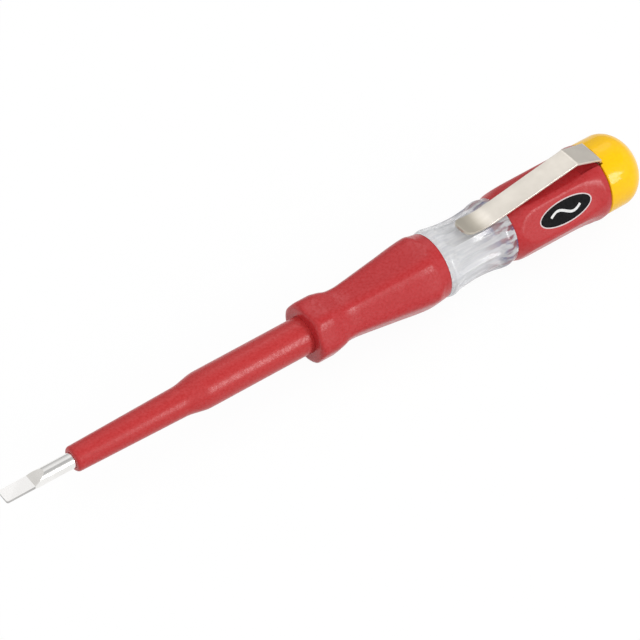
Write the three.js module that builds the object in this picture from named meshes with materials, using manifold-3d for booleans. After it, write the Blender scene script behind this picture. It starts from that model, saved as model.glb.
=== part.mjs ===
// Voltage tester screwdriver with a clear window, a pocket clip and a push-in end cap.
// Millimetres. The tool lies along +X, from the middle of the blade's working edge to the cap.
// The pocket clip is on top (+Z), and the blade's flats face up and down.

import * as THREE from 'three';
import { mergeVertices } from 'three/addons/utils/BufferGeometryUtils.js';
import Module from 'manifold-3d';

const wasm = await Module();
wasm.setup();

// Lengths of the tool, one piece after the other, as they show from outside
const bladeReach = 14.3;
const sheathReach = 49.9;
const frontGripLength = 28.8;
const windowLength = 15.5;
const rearSleeveLength = 21.7;
const capLength = 9.8;

// Clearances between moulded pieces, and how far a cut runs past what it cuts
const fitClearance = 0.1;
const slideClearance = 0.2;
const overrun = 1;

// Blade: round chrome steel rod, ground flat at the tip, with two ears that lock it in the handle
const rodDiameter = 3;
const bladeTipThickness = 0.5;
const bladeHeelThickness = 0.64;
const bladeFlatLength = 5.8;
const bladeSlopeLength = 2.6;
const earSpan = 4.4;
const earThickness = 1.1;
const earLength = 3;
const rodEndChamfer = 0.3;

// Insulation sheath on the blade: a slim taper, a rounded step and a thick parallel part
const sheathTipDiameter = 4.85;
const sheathNeckDiameter = 5.75;
const sheathBodyDiameter = 7.2;
const sheathTaperLength = 22.5;
const sheathStepLength = 5.3;
const sheathTipRounding = 0.6;
const sheathInsertion = 5;

// Front grip: a collar, a waist and a flared swell with six long flats, as shares of the sleeve's diameter
const collarDiameterShare = 0.82;
const waistDiameterShare = 0.695;
const swellDiameterShare = 0.968;
const gripFlatShare = 0.925;
const gripRimDrop = 0.85;
const collarEdgeRounding = 1.2;

// Clear handle core: it shows as the fluted window and runs on inside both red mouldings
const windowWaistDiameterShare = 0.804;
const windowBeadDiameterShare = 0.896;
const windowBeadRounding = 0.12;
const fluteCount = 14;
const fluteDepth = 0.3;
const fluteStepCount = 4;
const coreNeckFlareLength = 13;
const capSeatStep = 0.4;

// Rear sleeve: a barrel with six flats that run out at the back, in front of a plain ring
const sleeveBarrelDiameter = 15;
const sleeveWall = 2.1;
const sleeveFrontDrop = 1.1;
const sleeveRearDrop = 0.15;
const sleeveFlatDepth = 0.72;
const sleeveFlatInset = 6;
const sleeveFlatRunout = 4.8;
const capJointGap = 0.3;

// End cap: a domed plug whose skirt is pressed between the core and the rear sleeve
const capDomeLength = 5.4;
const capSkirtLength = 4.1;
const capSkirtWall = 1;
const capEdgeRounding = 0.25;
const capCoringDiameter = 6.8;
const capCoringDepth = 4;

// Pocket clip: spring steel sheet, clamped behind the core and folded over the rear sleeve
const clipThickness = 0.5;
const clipStrapWidth = 4.65;
const clipLipWidth = 4.3;
const clipLegWidth = 5.3;
const clipBendSetback = 5.4;
const clipBendRise = 3.2;
const clipReachPastSleeve = 3;
const clipBeadClearance = 0.25;
const clipLipLength = 7.7;
const clipLipRadius = 15;
const clipBendRadius = 0.9;
const clipRootRadius = 0.35;
const clipCornerRadius = 1.7;
const clipSkewDegrees = 2.5;
const clipRootRise = 0.2;
const clipSeatLength = 4.4;
const clipSeatDepth = 0.2;
const clipFlexGap = 0.3;

// Contact stack inside the core: resistor, neon lamp, washer and spring
const contactDiameter = 5.4;
const resistorDiameter = 4.6;
const resistorLength = 12.5;
const resistorCapLength = 1.5;
const resistorEdgeRounding = 0.4;
const lampDiameter = 4.2;
const lampWall = 0.35;
const lampStackLength = 15;
const lampFrontCapLength = 2.8;
const lampRearCapLength = 1.1;
const lampFrontCapFloor = 0.8;
const lampStemLength = 1.3;
const lampLeadRoom = 1.1;
const electrodeDiameter = 0.7;
const electrodeLength = 6.2;
const electrodeSpacing = 1.5;
const leadDiameter = 0.36;
const washerThickness = 0.4;
const washerHoleDiameter = 1.6;

// Contact spring: an open coil, with a straight end that stands on what it presses
const springWireDiameter = 0.45;
const springOutsideDiameter = 4.9;
const springTurnCount = 9;
const springStepCount = 8;
const springSideCount = 5;

// Faceting
const largeSideCount = 48;
const smallSideCount = 20;
const wireSideCount = 8;
const curveStepCount = 6;
const weldDistance = 1e-4;

// Places along the tool, worked out from the lengths
const sheathFront = bladeReach;
const gripFront = sheathFront + sheathReach;
const windowFront = gripFront + frontGripLength;
const sleeveFront = windowFront + windowLength;
const capFront = sleeveFront + rearSleeveLength;
const sleeveRear = capFront - capJointGap;
const toolEnd = capFront + capLength;

// Radii that several pieces share
const rodRadius = rodDiameter / 2;
const contactRadius = contactDiameter / 2;
const boreRadius = contactRadius + slideClearance;
const coreNeckRadius = sheathBodyDiameter / 2;
const sleeveBarrelRadius = sleeveBarrelDiameter / 2;
const waistRadius = sleeveBarrelRadius * waistDiameterShare;
const swellRadius = sleeveBarrelRadius * swellDiameterShare;
const collarRadius = sleeveBarrelRadius * collarDiameterShare;
const gripRimRadius = swellRadius - gripRimDrop;
const sleeveFrontRadius = sleeveBarrelRadius - sleeveFrontDrop;
const sleeveRearRadius = sleeveBarrelRadius - sleeveRearDrop;
const sleeveFlat = sleeveBarrelRadius - sleeveFlatDepth;
const sleeveSeatRadius = sleeveBarrelRadius - sleeveWall;
const capSeatRadius = sleeveSeatRadius - capSeatStep;
const windowWaistRadius = sleeveBarrelRadius * windowWaistDiameterShare;
const windowBeadRadius = sleeveBarrelRadius * windowBeadDiameterShare;
const quarterTurn = Math.PI / 2;

// Turns a geometry into a solid for cutting and joining
function solid(geometry) {
  const bare = geometry.clone();
  bare.deleteAttribute('normal');
  bare.deleteAttribute('uv');
  const welded = mergeVertices(bare, weldDistance);
  const corners = welded.index.array;
  const kept = [];
  for (let i = 0; i < corners.length; i += 3) {
    const [a, b, c] = [corners[i], corners[i + 1], corners[i + 2]];
    if (a !== b && b !== c && c !== a) kept.push(a, b, c);
  }
  const vertProperties = new Float32Array(welded.attributes.position.array);
  return new wasm.Manifold(new wasm.Mesh({ numProp: 3, vertProperties, triVerts: new Uint32Array(kept) }));
}

// Turns a cut solid back into a geometry
function shape(manifold) {
  const mesh = manifold.getMesh();
  const geometry = new THREE.BufferGeometry();
  geometry.setAttribute('position', new THREE.BufferAttribute(mesh.vertProperties, 3));
  geometry.setIndex(new THREE.BufferAttribute(mesh.triVerts, 1));
  geometry.computeVertexNormals();
  return geometry;
}

// Spins an outline of [place along the tool, radius] points about the X axis
function turned(outline, sides) {
  const points = outline.map(([along, radius]) => new THREE.Vector2(radius, along));
  const geometry = new THREE.LatheGeometry(points, sides);
  geometry.rotateZ(-quarterTurn);
  return geometry;
}

// A plain round bar or bore from one place to another
function rod(from, to, radius, sides) {
  return turned([[from, 0], [from, radius], [to, radius], [to, 0]], sides);
}

// Extrudes a closed outline of [along, up] points across the tool, half to each side
function across(outline, width) {
  const side = new THREE.Shape(outline.map(([along, up]) => new THREE.Vector2(along, up)));
  const geometry = new THREE.ExtrudeGeometry(side, { depth: width, bevelEnabled: false });
  geometry.rotateX(quarterTurn);
  geometry.translate(0, width / 2, 0);
  return geometry;
}

// Extrudes a closed outline of [along, sideways] points upwards from one height to another
function upright(outline, bottom, top) {
  const plan = new THREE.Shape(outline.map(([along, sideways]) => new THREE.Vector2(along, sideways)));
  const geometry = new THREE.ExtrudeGeometry(plan, { depth: top - bottom, bevelEnabled: false });
  geometry.translate(0, 0, bottom);
  return geometry;
}

// A smooth curve through [along, radius] stations, as a list of points
function smooth(stations, pointsPerSpan) {
  const curve = new THREE.SplineCurve(stations.map(([along, radius]) => new THREE.Vector2(along, radius)));
  return curve.getPoints(pointsPerSpan * (stations.length - 1)).map((p) => [p.x, p.y]);
}

// A quarter round from one point to another, leaving along the tool's axis or square to it
function quarterRound(from, to, leavesAlong, count) {
  const points = [];
  for (let i = 1; i <= count; i += 1) {
    const angle = (quarterTurn * i) / count;
    const eased = [Math.sin(angle), 1 - Math.cos(angle)];
    const [alongShare, radiusShare] = leavesAlong ? eased : [eased[1], eased[0]];
    points.push([from[0] + (to[0] - from[0]) * alongShare, from[1] + (to[1] - from[1]) * radiusShare]);
  }
  return points;
}

// Cuts six equal flats on a turned solid, each following the same outline of [along, height] points
function withSixFlats(body, flatOutline, reach) {
  const mirrored = flatOutline.map(([along, height]) => [along, -height]).reverse();
  const outline = [...flatOutline, ...mirrored];
  let result = body;
  for (let turn = 0; turn < 3; turn += 1) {
    const slab = across(outline, reach);
    slab.rotateX((turn * Math.PI) / 3);
    result = result.intersect(solid(slab));
  }
  return result;
}

const tool = new THREE.Group();

const materials = {
  steel: new THREE.MeshStandardMaterial({ color: '#c9c9c6', roughness: 0.28, metalness: 1 }),
  clipSteel: new THREE.MeshStandardMaterial({ color: '#cfcac0', roughness: 0.35, metalness: 1 }),
  sheathPlastic: new THREE.MeshStandardMaterial({ color: '#c23a3e', roughness: 0.45, metalness: 0 }),
  redPlastic: new THREE.MeshStandardMaterial({ color: '#c0141c', roughness: 0.35, metalness: 0 }),
  yellowPlastic: new THREE.MeshStandardMaterial({ color: '#f7ab00', roughness: 0.4, metalness: 0 }),
  clearPlastic: new THREE.MeshStandardMaterial({
    color: '#dfe6e6', roughness: 0.05, metalness: 0, transparent: true, opacity: 0.35,
  }),
  glass: new THREE.MeshStandardMaterial({
    color: '#f2efe6', roughness: 0.05, metalness: 0, transparent: true, opacity: 0.4,
  }),
  brass: new THREE.MeshStandardMaterial({ color: '#b8934a', roughness: 0.35, metalness: 1 }),
  nickel: new THREE.MeshStandardMaterial({ color: '#a9a59c', roughness: 0.4, metalness: 1 }),
  ceramic: new THREE.MeshStandardMaterial({ color: '#d8c9a8', roughness: 0.6, metalness: 0 }),
};

function piece(name, geometry, material) {
  const mesh = new THREE.Mesh(geometry, material);
  mesh.name = name;
  tool.add(mesh);
  return mesh;
}

// Stack places, counted from the lamp, whose front cap ends where the window starts
const lampFront = windowFront - lampFrontCapLength;
const resistorRear = lampFront - fitClearance;
const resistorFront = resistorRear - resistorLength;
const rodRear = resistorFront - fitClearance;
const lampRear = lampFront + lampStackLength;
const washerFront = lampRear + fitClearance;
const washerRear = washerFront + washerThickness;
const coreRear = sleeveRear;
const clipPlateFront = coreRear + fitClearance;
const clipPlateRear = clipPlateFront + clipThickness;
const springFront = washerRear + fitClearance;
const springRear = clipPlateFront - fitClearance;

// Blade and its ears
const coreFront = gripFront + sheathInsertion + fitClearance;
const earRear = (coreFront + resistorFront + earLength) / 2;
const earFront = earRear - earLength;
const bladeSide = [
  [0, bladeTipThickness / 2],
  [bladeFlatLength, bladeHeelThickness / 2],
  [bladeFlatLength + bladeSlopeLength, rodRadius],
  [rodRear, rodRadius],
];
const bladeOutline = [...bladeSide, ...bladeSide.map(([along, up]) => [along, -up]).reverse()];
const rodBar = turned([
  [0, 0],
  [0, rodRadius],
  [rodRear - rodEndChamfer, rodRadius],
  [rodRear, rodRadius - rodEndChamfer],
  [rodRear, 0],
], smallSideCount);
const ears = new THREE.BoxGeometry(earLength, earSpan, earThickness);
ears.translate((earFront + earRear) / 2, 0, 0);
const blade = solid(rodBar).intersect(solid(across(bladeOutline, rodDiameter + overrun)));
piece('blade', shape(blade.add(solid(ears))), materials.steel);

// Insulation sheath
const sheathRear = gripFront + sheathInsertion;
const taperEnd = sheathFront + sheathTaperLength;
const stepEnd = taperEnd + sheathStepLength;
const stepMiddle = (taperEnd + stepEnd) / 2;
const sheathStep = new THREE.CubicBezierCurve(
  new THREE.Vector2(taperEnd, sheathNeckDiameter / 2),
  new THREE.Vector2(stepMiddle, sheathNeckDiameter / 2),
  new THREE.Vector2(stepMiddle, sheathBodyDiameter / 2),
  new THREE.Vector2(stepEnd, sheathBodyDiameter / 2),
);
const sheathBoreRadius = rodRadius + fitClearance;
const sheathTipRadius = sheathTipDiameter / 2;
const sheathOutline = [
  [sheathFront, 0],
  [sheathFront, sheathTipRadius - sheathTipRounding],
  ...quarterRound(
    [sheathFront, sheathTipRadius - sheathTipRounding],
    [sheathFront + sheathTipRounding, sheathTipRadius], false, curveStepCount / 2,
  ),
  ...sheathStep.getPoints(curveStepCount).map((p) => [p.x, p.y]),
  [sheathRear, sheathBodyDiameter / 2],
  [sheathRear, 0],
];
const sheathBore = rod(sheathFront - overrun, sheathRear + overrun, sheathBoreRadius, smallSideCount);
const sheath = solid(turned(sheathOutline, largeSideCount)).subtract(solid(sheathBore));
piece('blade_insulation', shape(sheath), materials.sheathPlastic);

// Front grip: stations are shares of the grip's length
const collarRearShare = 0.132;
const collarFallShare = 0.19;
const throatShare = 0.236;
const waistShare = 0.292;
const flareStartShare = 0.354;
const flareMiddleShare = 0.632;
const swellShare = 0.882;
const shoulderShare = 0.94;
const collarFallRatioShare = 0.6;
const throatRatioShare = 0.155;
const flareStartRatioShare = 0.05;
const flareMiddleRatioShare = 0.568;
const shoulderRatioShare = 0.41;
const gripAt = (share) => gripFront + frontGripLength * share;
const between = (low, high, share) => low + (high - low) * share;
const gripRound = smooth([
  [gripAt(collarRearShare), collarRadius],
  [gripAt(collarFallShare), between(waistRadius, collarRadius, collarFallRatioShare)],
  [gripAt(throatShare), between(waistRadius, collarRadius, throatRatioShare)],
  [gripAt(waistShare), waistRadius],
  [gripAt(flareStartShare), between(waistRadius, swellRadius, flareStartRatioShare)],
  [gripAt(flareMiddleShare), between(waistRadius, swellRadius, flareMiddleRatioShare)],
  [gripAt(swellShare), swellRadius],
  [gripAt(shoulderShare), between(gripRimRadius, swellRadius, shoulderRatioShare)],
  [windowFront, gripRimRadius],
], curveStepCount / 2);
const gripOutline = [
  [gripFront, 0],
  [gripFront, collarRadius - collarEdgeRounding],
  ...quarterRound(
    [gripFront, collarRadius - collarEdgeRounding],
    [gripFront + collarEdgeRounding, collarRadius], false, curveStepCount / 2,
  ),
  ...gripRound,
  [windowFront, 0],
];
// The six flats keep the same share of the section from the collar to the swell, and end at its shoulder
const flatPart = gripRound.filter(([along]) => along <= gripAt(swellShare));
const gripFlats = [
  [gripFront - overrun, collarRadius * gripFlatShare],
  ...flatPart.map(([along, radius]) => [along, radius * gripFlatShare]),
  [windowFront + overrun, swellRadius * gripFlatShare],
];
const neckFlareStart = gripAt(waistShare);
const neckFlareEnd = neckFlareStart + coreNeckFlareLength;
const gripBoreOutline = [
  [gripFront - overrun, 0],
  [gripFront - overrun, coreNeckRadius + fitClearance],
  [neckFlareStart, coreNeckRadius + fitClearance],
  [neckFlareEnd, sleeveSeatRadius + fitClearance],
  [windowFront + overrun, sleeveSeatRadius + fitClearance],
  [windowFront + overrun, 0],
];
const gripBody = solid(turned(gripOutline, largeSideCount));
const frontGrip = withSixFlats(gripBody, gripFlats, 2 * swellRadius + overrun)
  .subtract(solid(turned(gripBoreOutline, largeSideCount)));
piece('front_grip', shape(frontGrip), materials.redPlastic);

// Clear core with its flutes
const windowStart = windowFront + fitClearance;
const windowEnd = sleeveFront - fitClearance;
const windowAt = (share) => between(windowStart, windowEnd, share);
const frontBeadShare = 0.075;
const windowFallShare = 0.25;
const windowWaistShare = 0.5;
const windowRiseShare = 0.73;
const windowShoulderShare = 0.83;
const rearBeadShare = 0.9;
const windowEdgeShare = 0.97;
const windowSlopeRatioShare = 0.38;
const windowShoulderRatioShare = 0.84;
const windowSlopeRadius = between(windowWaistRadius, windowBeadRadius, windowSlopeRatioShare);
const windowRound = smooth([
  [windowStart, windowBeadRadius - windowBeadRounding],
  [windowAt(frontBeadShare), windowBeadRadius],
  [windowAt(windowFallShare), windowSlopeRadius],
  [windowAt(windowWaistShare), windowWaistRadius],
  [windowAt(windowRiseShare), windowSlopeRadius],
  [windowAt(windowShoulderShare), between(windowWaistRadius, windowBeadRadius, windowShoulderRatioShare)],
  [windowAt(rearBeadShare), windowBeadRadius],
  [windowAt(windowEdgeShare), windowBeadRadius - windowBeadRounding],
], curveStepCount / 2);
const capSkirtFront = capFront - capSkirtLength;
const coreOutline = [
  [coreFront, 0],
  [coreFront, coreNeckRadius],
  [neckFlareStart + fitClearance, coreNeckRadius],
  [neckFlareEnd + fitClearance, sleeveSeatRadius],
  [windowStart, sleeveSeatRadius],
  ...windowRound,
  [windowEnd, sleeveFrontRadius],
  [windowEnd, sleeveSeatRadius],
  [capSkirtFront - fitClearance, sleeveSeatRadius],
  [capSkirtFront - fitClearance, capSeatRadius],
  [coreRear, capSeatRadius],
  [coreRear, 0],
];
const coreBody = turned(coreOutline, fluteCount * fluteStepCount);
const fluteFrontShare = 0.11;
const fluteFront = windowAt(fluteFrontShare);
const fluteFrontRunoutEnd = windowAt(windowFallShare);
const fluteRearRunoutStart = windowAt(windowRiseShare);
const fluteRear = windowAt(windowShoulderShare);
const firstWindowRing = coreOutline.indexOf(windowRound[0]);
const lastWindowRing = firstWindowRing + windowRound.length - 1;

// How deep a flute is at a place along the window and an angle round it; both ends are a rounded U
function fluteCut(along, angle) {
  if (along < fluteFront || along > fluteRear) return 0;
  const turns = (angle * fluteCount) / (2 * Math.PI);
  const sideways = 2 * (turns - Math.floor(turns)) - 1;
  const frontRunout = (fluteFrontRunoutEnd - along) / (fluteFrontRunoutEnd - fluteFront);
  const rearRunout = (along - fluteRearRunoutStart) / (fluteRear - fluteRearRunoutStart);
  const runout = Math.max(0, frontRunout, rearRunout);
  return fluteDepth * Math.max(0, 1 - sideways * sideways - runout * runout);
}

const corePoints = coreBody.attributes.position;
for (let i = 0; i < corePoints.count; i += 1) {
  const ring = i % coreOutline.length;
  if (ring >= firstWindowRing && ring <= lastWindowRing) {
    const [along, sideways, up] = [corePoints.getX(i), corePoints.getY(i), corePoints.getZ(i)];
    const radius = Math.hypot(sideways, up);
    const ratio = (radius - fluteCut(along, Math.atan2(sideways, up))) / radius;
    corePoints.setXYZ(i, along, sideways * ratio, up * ratio);
  }
}
const rodHole = rod(coreFront - overrun, rodRear + overrun, rodRadius + fitClearance, smallSideCount);
const earPocket = new THREE.BoxGeometry(
  earLength + 2 * fitClearance, earSpan + 2 * fitClearance, earThickness + 2 * fitClearance,
);
earPocket.translate((earFront + earRear) / 2, 0, 0);
const stackBore = rod(rodRear, coreRear + overrun, boreRadius, largeSideCount);
const core = solid(coreBody)
  .subtract(solid(rodHole))
  .subtract(solid(earPocket))
  .subtract(solid(stackBore));
piece('handle_core', shape(core), materials.clearPlastic);

// Rear sleeve: stations are shares of the sleeve's length
const sleeveSwellShare = 0.05;
const sleeveShoulderShare = 0.14;
const sleeveChestShare = 0.25;
const sleeveRingShare = 0.935;
const sleeveSwellRatioShare = 0.31;
const sleeveShoulderRatioShare = 0.8;
const sleeveAt = (share) => between(sleeveFront, sleeveRear, share);
const sleeveRound = smooth([
  [sleeveFront, sleeveFrontRadius],
  [sleeveAt(sleeveSwellShare), between(sleeveFrontRadius, sleeveBarrelRadius, sleeveSwellRatioShare)],
  [sleeveAt(sleeveShoulderShare), between(sleeveFrontRadius, sleeveBarrelRadius, sleeveShoulderRatioShare)],
  [sleeveAt(sleeveChestShare), sleeveBarrelRadius],
  [sleeveAt(sleeveRingShare), sleeveBarrelRadius],
  [sleeveRear, sleeveRearRadius],
], curveStepCount / 2);

// A flat runs out at the back in a parabola, which leaves a rounded end on the barrel
const flatRear = sleeveRear - sleeveFlatInset;
const flatRunout = new THREE.QuadraticBezierCurve(
  new THREE.Vector2(flatRear, sleeveFlat),
  new THREE.Vector2(flatRear + sleeveFlatRunout / 2, sleeveFlat),
  new THREE.Vector2(flatRear + sleeveFlatRunout, sleeveBarrelRadius),
);
const sleeveFlats = [
  [sleeveFront - overrun, sleeveFlat],
  ...flatRunout.getPoints(curveStepCount).map((p) => [p.x, p.y]),
  [sleeveRear + overrun, sleeveBarrelRadius + sleeveFlatDepth],
];
const skirtOuterRadius = capSeatRadius + fitClearance + capSkirtWall;
const sleeveBoreOutline = [
  [sleeveFront - overrun, 0],
  [sleeveFront - overrun, sleeveSeatRadius + fitClearance],
  [capSkirtFront - slideClearance, sleeveSeatRadius + fitClearance],
  [capSkirtFront - slideClearance, skirtOuterRadius + fitClearance],
  [sleeveRear + overrun, skirtOuterRadius + fitClearance],
  [sleeveRear + overrun, 0],
];
const clipSeatWidth = clipLegWidth + 2 * slideClearance;
const clipSeatHeight = sleeveFlatDepth + clipSeatDepth + overrun;
const clipSeat = new THREE.BoxGeometry(clipSeatLength + overrun, clipSeatWidth, clipSeatHeight);
clipSeat.translate(
  sleeveRear + (overrun - clipSeatLength) / 2, 0, sleeveFlat - clipSeatDepth + clipSeatHeight / 2,
);
const sleeveBarrel = solid(turned([[sleeveFront, 0], ...sleeveRound, [sleeveRear, 0]], largeSideCount));
const rearSleeve = withSixFlats(sleeveBarrel, sleeveFlats, sleeveBarrelDiameter + overrun)
  .subtract(solid(turned(sleeveBoreOutline, largeSideCount)))
  .subtract(solid(clipSeat));
piece('rear_sleeve', shape(rearSleeve), materials.redPlastic);

// End cap: dome, rim, skirt with a slot for the clip, and a cored middle
const capRadius = sleeveRearRadius - fitClearance;
const domeStart = toolEnd - capDomeLength;
const capFloor = clipPlateRear + fitClearance;
const capOutline = [
  [capSkirtFront, capSeatRadius + fitClearance],
  [capSkirtFront, skirtOuterRadius],
  [capFront, skirtOuterRadius],
  [capFront, capRadius - capEdgeRounding],
  ...quarterRound(
    [capFront, capRadius - capEdgeRounding],
    [capFront + capEdgeRounding, capRadius], false, curveStepCount / 2,
  ),
  [domeStart, capRadius],
  ...quarterRound([domeStart, capRadius], [toolEnd, 0], true, curveStepCount),
  [capFloor + capCoringDepth, 0],
  [capFloor + capCoringDepth, capCoringDiameter / 2],
  [capFloor, capCoringDiameter / 2],
  [capFloor, capSeatRadius + fitClearance],
  [capSkirtFront, capSeatRadius + fitClearance],
];
const capSlotDepth = capFloor + slideClearance - capSkirtFront + overrun;
const capSlotBottom = Math.sqrt(capSeatRadius ** 2 - (clipSeatWidth / 2) ** 2) - slideClearance;
const capSlot = new THREE.BoxGeometry(capSlotDepth, clipSeatWidth, capRadius);
capSlot.translate(capSkirtFront - overrun + capSlotDepth / 2, 0, capSlotBottom + capRadius / 2);
const endCap = solid(turned(capOutline, largeSideCount)).subtract(solid(capSlot));
piece('end_cap', shape(endCap), materials.yellowPlastic);

// Clip plate: the hidden foot of the clip, a disc behind the core with a tab up through the joint
const clipPlateRadius = capSeatRadius - slideClearance;
const clipRootHeight = sleeveFlat + clipRootRise;
const clipTabTop = clipRootHeight - clipFlexGap;
const tabHalf = clipStrapWidth / 2;
const tabAngle = Math.asin(tabHalf / clipPlateRadius);
const plateOutline = new THREE.Shape();
plateOutline.moveTo(tabHalf, clipTabTop);
plateOutline.lineTo(-tabHalf, clipTabTop);
const rimStart = quarterTurn + tabAngle;
plateOutline.absarc(0, 0, clipPlateRadius, rimStart, rimStart + 2 * (Math.PI - tabAngle), false);
const clipPlate = new THREE.ExtrudeGeometry(plateOutline, {
  depth: clipThickness, bevelEnabled: false, curveSegments: smallSideCount,
});
clipPlate.rotateX(quarterTurn);
clipPlate.rotateZ(quarterTurn);
clipPlate.translate(clipPlateFront, 0, 0);
piece('clip_plate', clipPlate, materials.clipSteel);

// Clip arm: the sheet's middle line in side view, from its root in the cap joint to the curled lip
const clipRootAlong = (clipPlateFront + clipPlateRear) / 2;
const bendAlong = clipPlateFront - clipBendSetback;
const bendHeight = sleeveFlat + clipBendRise - clipThickness / 2;
const contactAlong = sleeveFront - clipReachPastSleeve;
const contactHeight = windowBeadRadius + clipBeadClearance + clipThickness / 2;
const strapFall = Math.atan2(bendHeight - contactHeight, bendAlong - contactAlong);
const legTop = new THREE.Vector2(bendAlong, bendHeight);
const legFoot = new THREE.Vector2(clipRootAlong, clipRootHeight + clipRootRadius + clipThickness / 2);
const strapFoot = new THREE.Vector2(contactAlong, contactHeight);

// Rounds the corner of a line of points with an arc of the given radius
function roundedCorner(before, corner, after, radius) {
  const toBefore = before.clone().sub(corner).normalize();
  const toAfter = after.clone().sub(corner).normalize();
  const halfAngle = Math.acos(toBefore.dot(toAfter)) / 2;
  const reach = radius / Math.tan(halfAngle);
  const middle = toBefore.clone().add(toAfter).normalize().multiplyScalar(radius / Math.sin(halfAngle));
  const centre = corner.clone().add(middle);
  const from = corner.clone().addScaledVector(toBefore, reach).sub(centre);
  const to = corner.clone().addScaledVector(toAfter, reach).sub(centre);
  let sweep = to.angle() - from.angle();
  if (sweep > Math.PI) sweep -= 2 * Math.PI;
  if (sweep < -Math.PI) sweep += 2 * Math.PI;
  const points = [];
  for (let i = 0; i <= curveStepCount; i += 1) {
    const angle = from.angle() + (sweep * i) / curveStepCount;
    points.push(new THREE.Vector2(centre.x + radius * Math.cos(angle), centre.y + radius * Math.sin(angle)));
  }
  return points;
}

const clipRoot = new THREE.Vector2(clipRootAlong, clipRootHeight);
const lipSweep = clipLipLength / clipLipRadius;
const lipPoints = [];
for (let i = 1; i <= curveStepCount; i += 1) {
  const turn = strapFall - (lipSweep * i) / curveStepCount;
  lipPoints.push(new THREE.Vector2(
    contactAlong - clipLipRadius * (Math.sin(strapFall) - Math.sin(turn)),
    contactHeight - clipLipRadius * (Math.cos(turn) - Math.cos(strapFall)),
  ));
}
const clipLine = [
  clipRoot,
  ...roundedCorner(clipRoot, legFoot, legTop, clipRootRadius),
  ...roundedCorner(legFoot, legTop, strapFoot, clipBendRadius),
  strapFoot,
  ...lipPoints,
];

// Gives a line of points the sheet's thickness, half to each side
function sheetOutline(line, thickness) {
  const outer = [];
  const inner = [];
  line.forEach((point, i) => {
    const previous = line[Math.max(0, i - 1)];
    const next = line[Math.min(line.length - 1, i + 1)];
    const along = next.clone().sub(previous).normalize();
    const square = new THREE.Vector2(-along.y, along.x).multiplyScalar(thickness / 2);
    outer.push([point.x + square.x, point.y + square.y]);
    inner.push([point.x - square.x, point.y - square.y]);
  });
  return [...outer, ...inner.reverse()];
}

const clipSheet = across(sheetOutline(clipLine, clipThickness), clipLegWidth + overrun);
const lipEnd = lipPoints[lipPoints.length - 1].x + clipThickness / 2;
const legHalf = clipLegWidth / 2;
const strapHalf = clipStrapWidth / 2;
const lipHalf = clipLipWidth / 2;
const planRear = clipPlateRear + clipThickness;
const planOutline = [
  [planRear, -legHalf],
  [planRear, legHalf],
  [clipPlateFront, legHalf],
  [bendAlong, strapHalf],
  [lipEnd + clipCornerRadius, lipHalf],
  ...quarterRound(
    [lipEnd + clipCornerRadius, lipHalf], [lipEnd, lipHalf - clipCornerRadius], true, curveStepCount,
  ),
  [lipEnd, clipCornerRadius - lipHalf],
  ...quarterRound(
    [lipEnd, clipCornerRadius - lipHalf], [lipEnd + clipCornerRadius, -lipHalf], false, curveStepCount,
  ),
  [bendAlong, -strapHalf],
  [clipPlateFront, -legHalf],
];
const clipPlan = upright(planOutline, 0, bendHeight + overrun);
const clipArm = shape(solid(clipSheet).intersect(solid(clipPlan)));
clipArm.translate(-clipRootAlong, 0, 0);
clipArm.rotateZ(THREE.MathUtils.degToRad(clipSkewDegrees));
clipArm.translate(clipRootAlong, 0, 0);
piece('clip_arm', clipArm, materials.clipSteel);

// Resistor and its two end caps
const resistorRadius = resistorDiameter / 2;
const resistorBodyFront = resistorFront + resistorCapLength / 2;
const resistorBodyRear = resistorRear - resistorCapLength / 2;
const resistorOutline = [
  [resistorBodyFront, 0],
  [resistorBodyFront, resistorRadius - resistorEdgeRounding],
  [resistorBodyFront + resistorEdgeRounding, resistorRadius],
  [resistorBodyRear - resistorEdgeRounding, resistorRadius],
  [resistorBodyRear, resistorRadius - resistorEdgeRounding],
  [resistorBodyRear, 0],
];
piece('resistor_body', turned(resistorOutline, smallSideCount), materials.ceramic);

// A pressed cup with its floor at one place and its mouth at another, which may face either way
function cup(floorAt, mouthAt, floorInside, outerRadius, innerRadius) {
  const outline = [
    [floorAt, 0],
    [floorAt, outerRadius],
    [mouthAt, outerRadius],
    [mouthAt, innerRadius],
    [floorInside, innerRadius],
    [floorInside, 0],
  ];
  return turned(mouthAt > floorAt ? outline : outline.reverse(), smallSideCount);
}

const resistorCupInside = resistorRadius + fitClearance;
const frontCupFloor = resistorBodyFront - fitClearance;
const rearCupFloor = resistorBodyRear + fitClearance;
piece('resistor_front_cap', cup(
  resistorFront, resistorFront + resistorCapLength, frontCupFloor, contactRadius, resistorCupInside,
), materials.nickel);
piece('resistor_rear_cap', cup(
  resistorRear, resistorRear - resistorCapLength, rearCupFloor, contactRadius, resistorCupInside,
), materials.nickel);

// Neon lamp: glass envelope, stem, two electrodes, two leads and two contact caps
const lampRadius = lampDiameter / 2;
const lampInside = lampRadius - lampWall;
const lampCapInside = lampRadius + fitClearance;
const glassFront = lampFront + lampFrontCapFloor + fitClearance;
const rearCapFront = lampRear - lampRearCapLength;
const glassRear = rearCapFront - lampLeadRoom;
const stemFront = glassRear - lampStemLength;
const glassOutline = [
  [glassFront, 0],
  ...quarterRound([glassFront, 0], [glassFront + lampRadius, lampRadius], false, curveStepCount),
  [glassRear, lampRadius],
  [glassRear, lampInside],
  [glassFront + lampRadius, lampInside],
  ...quarterRound([glassFront + lampRadius, lampInside], [glassFront + lampWall, 0], true, curveStepCount),
];
piece('lamp_glass', turned(glassOutline, smallSideCount), materials.glass);

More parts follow.
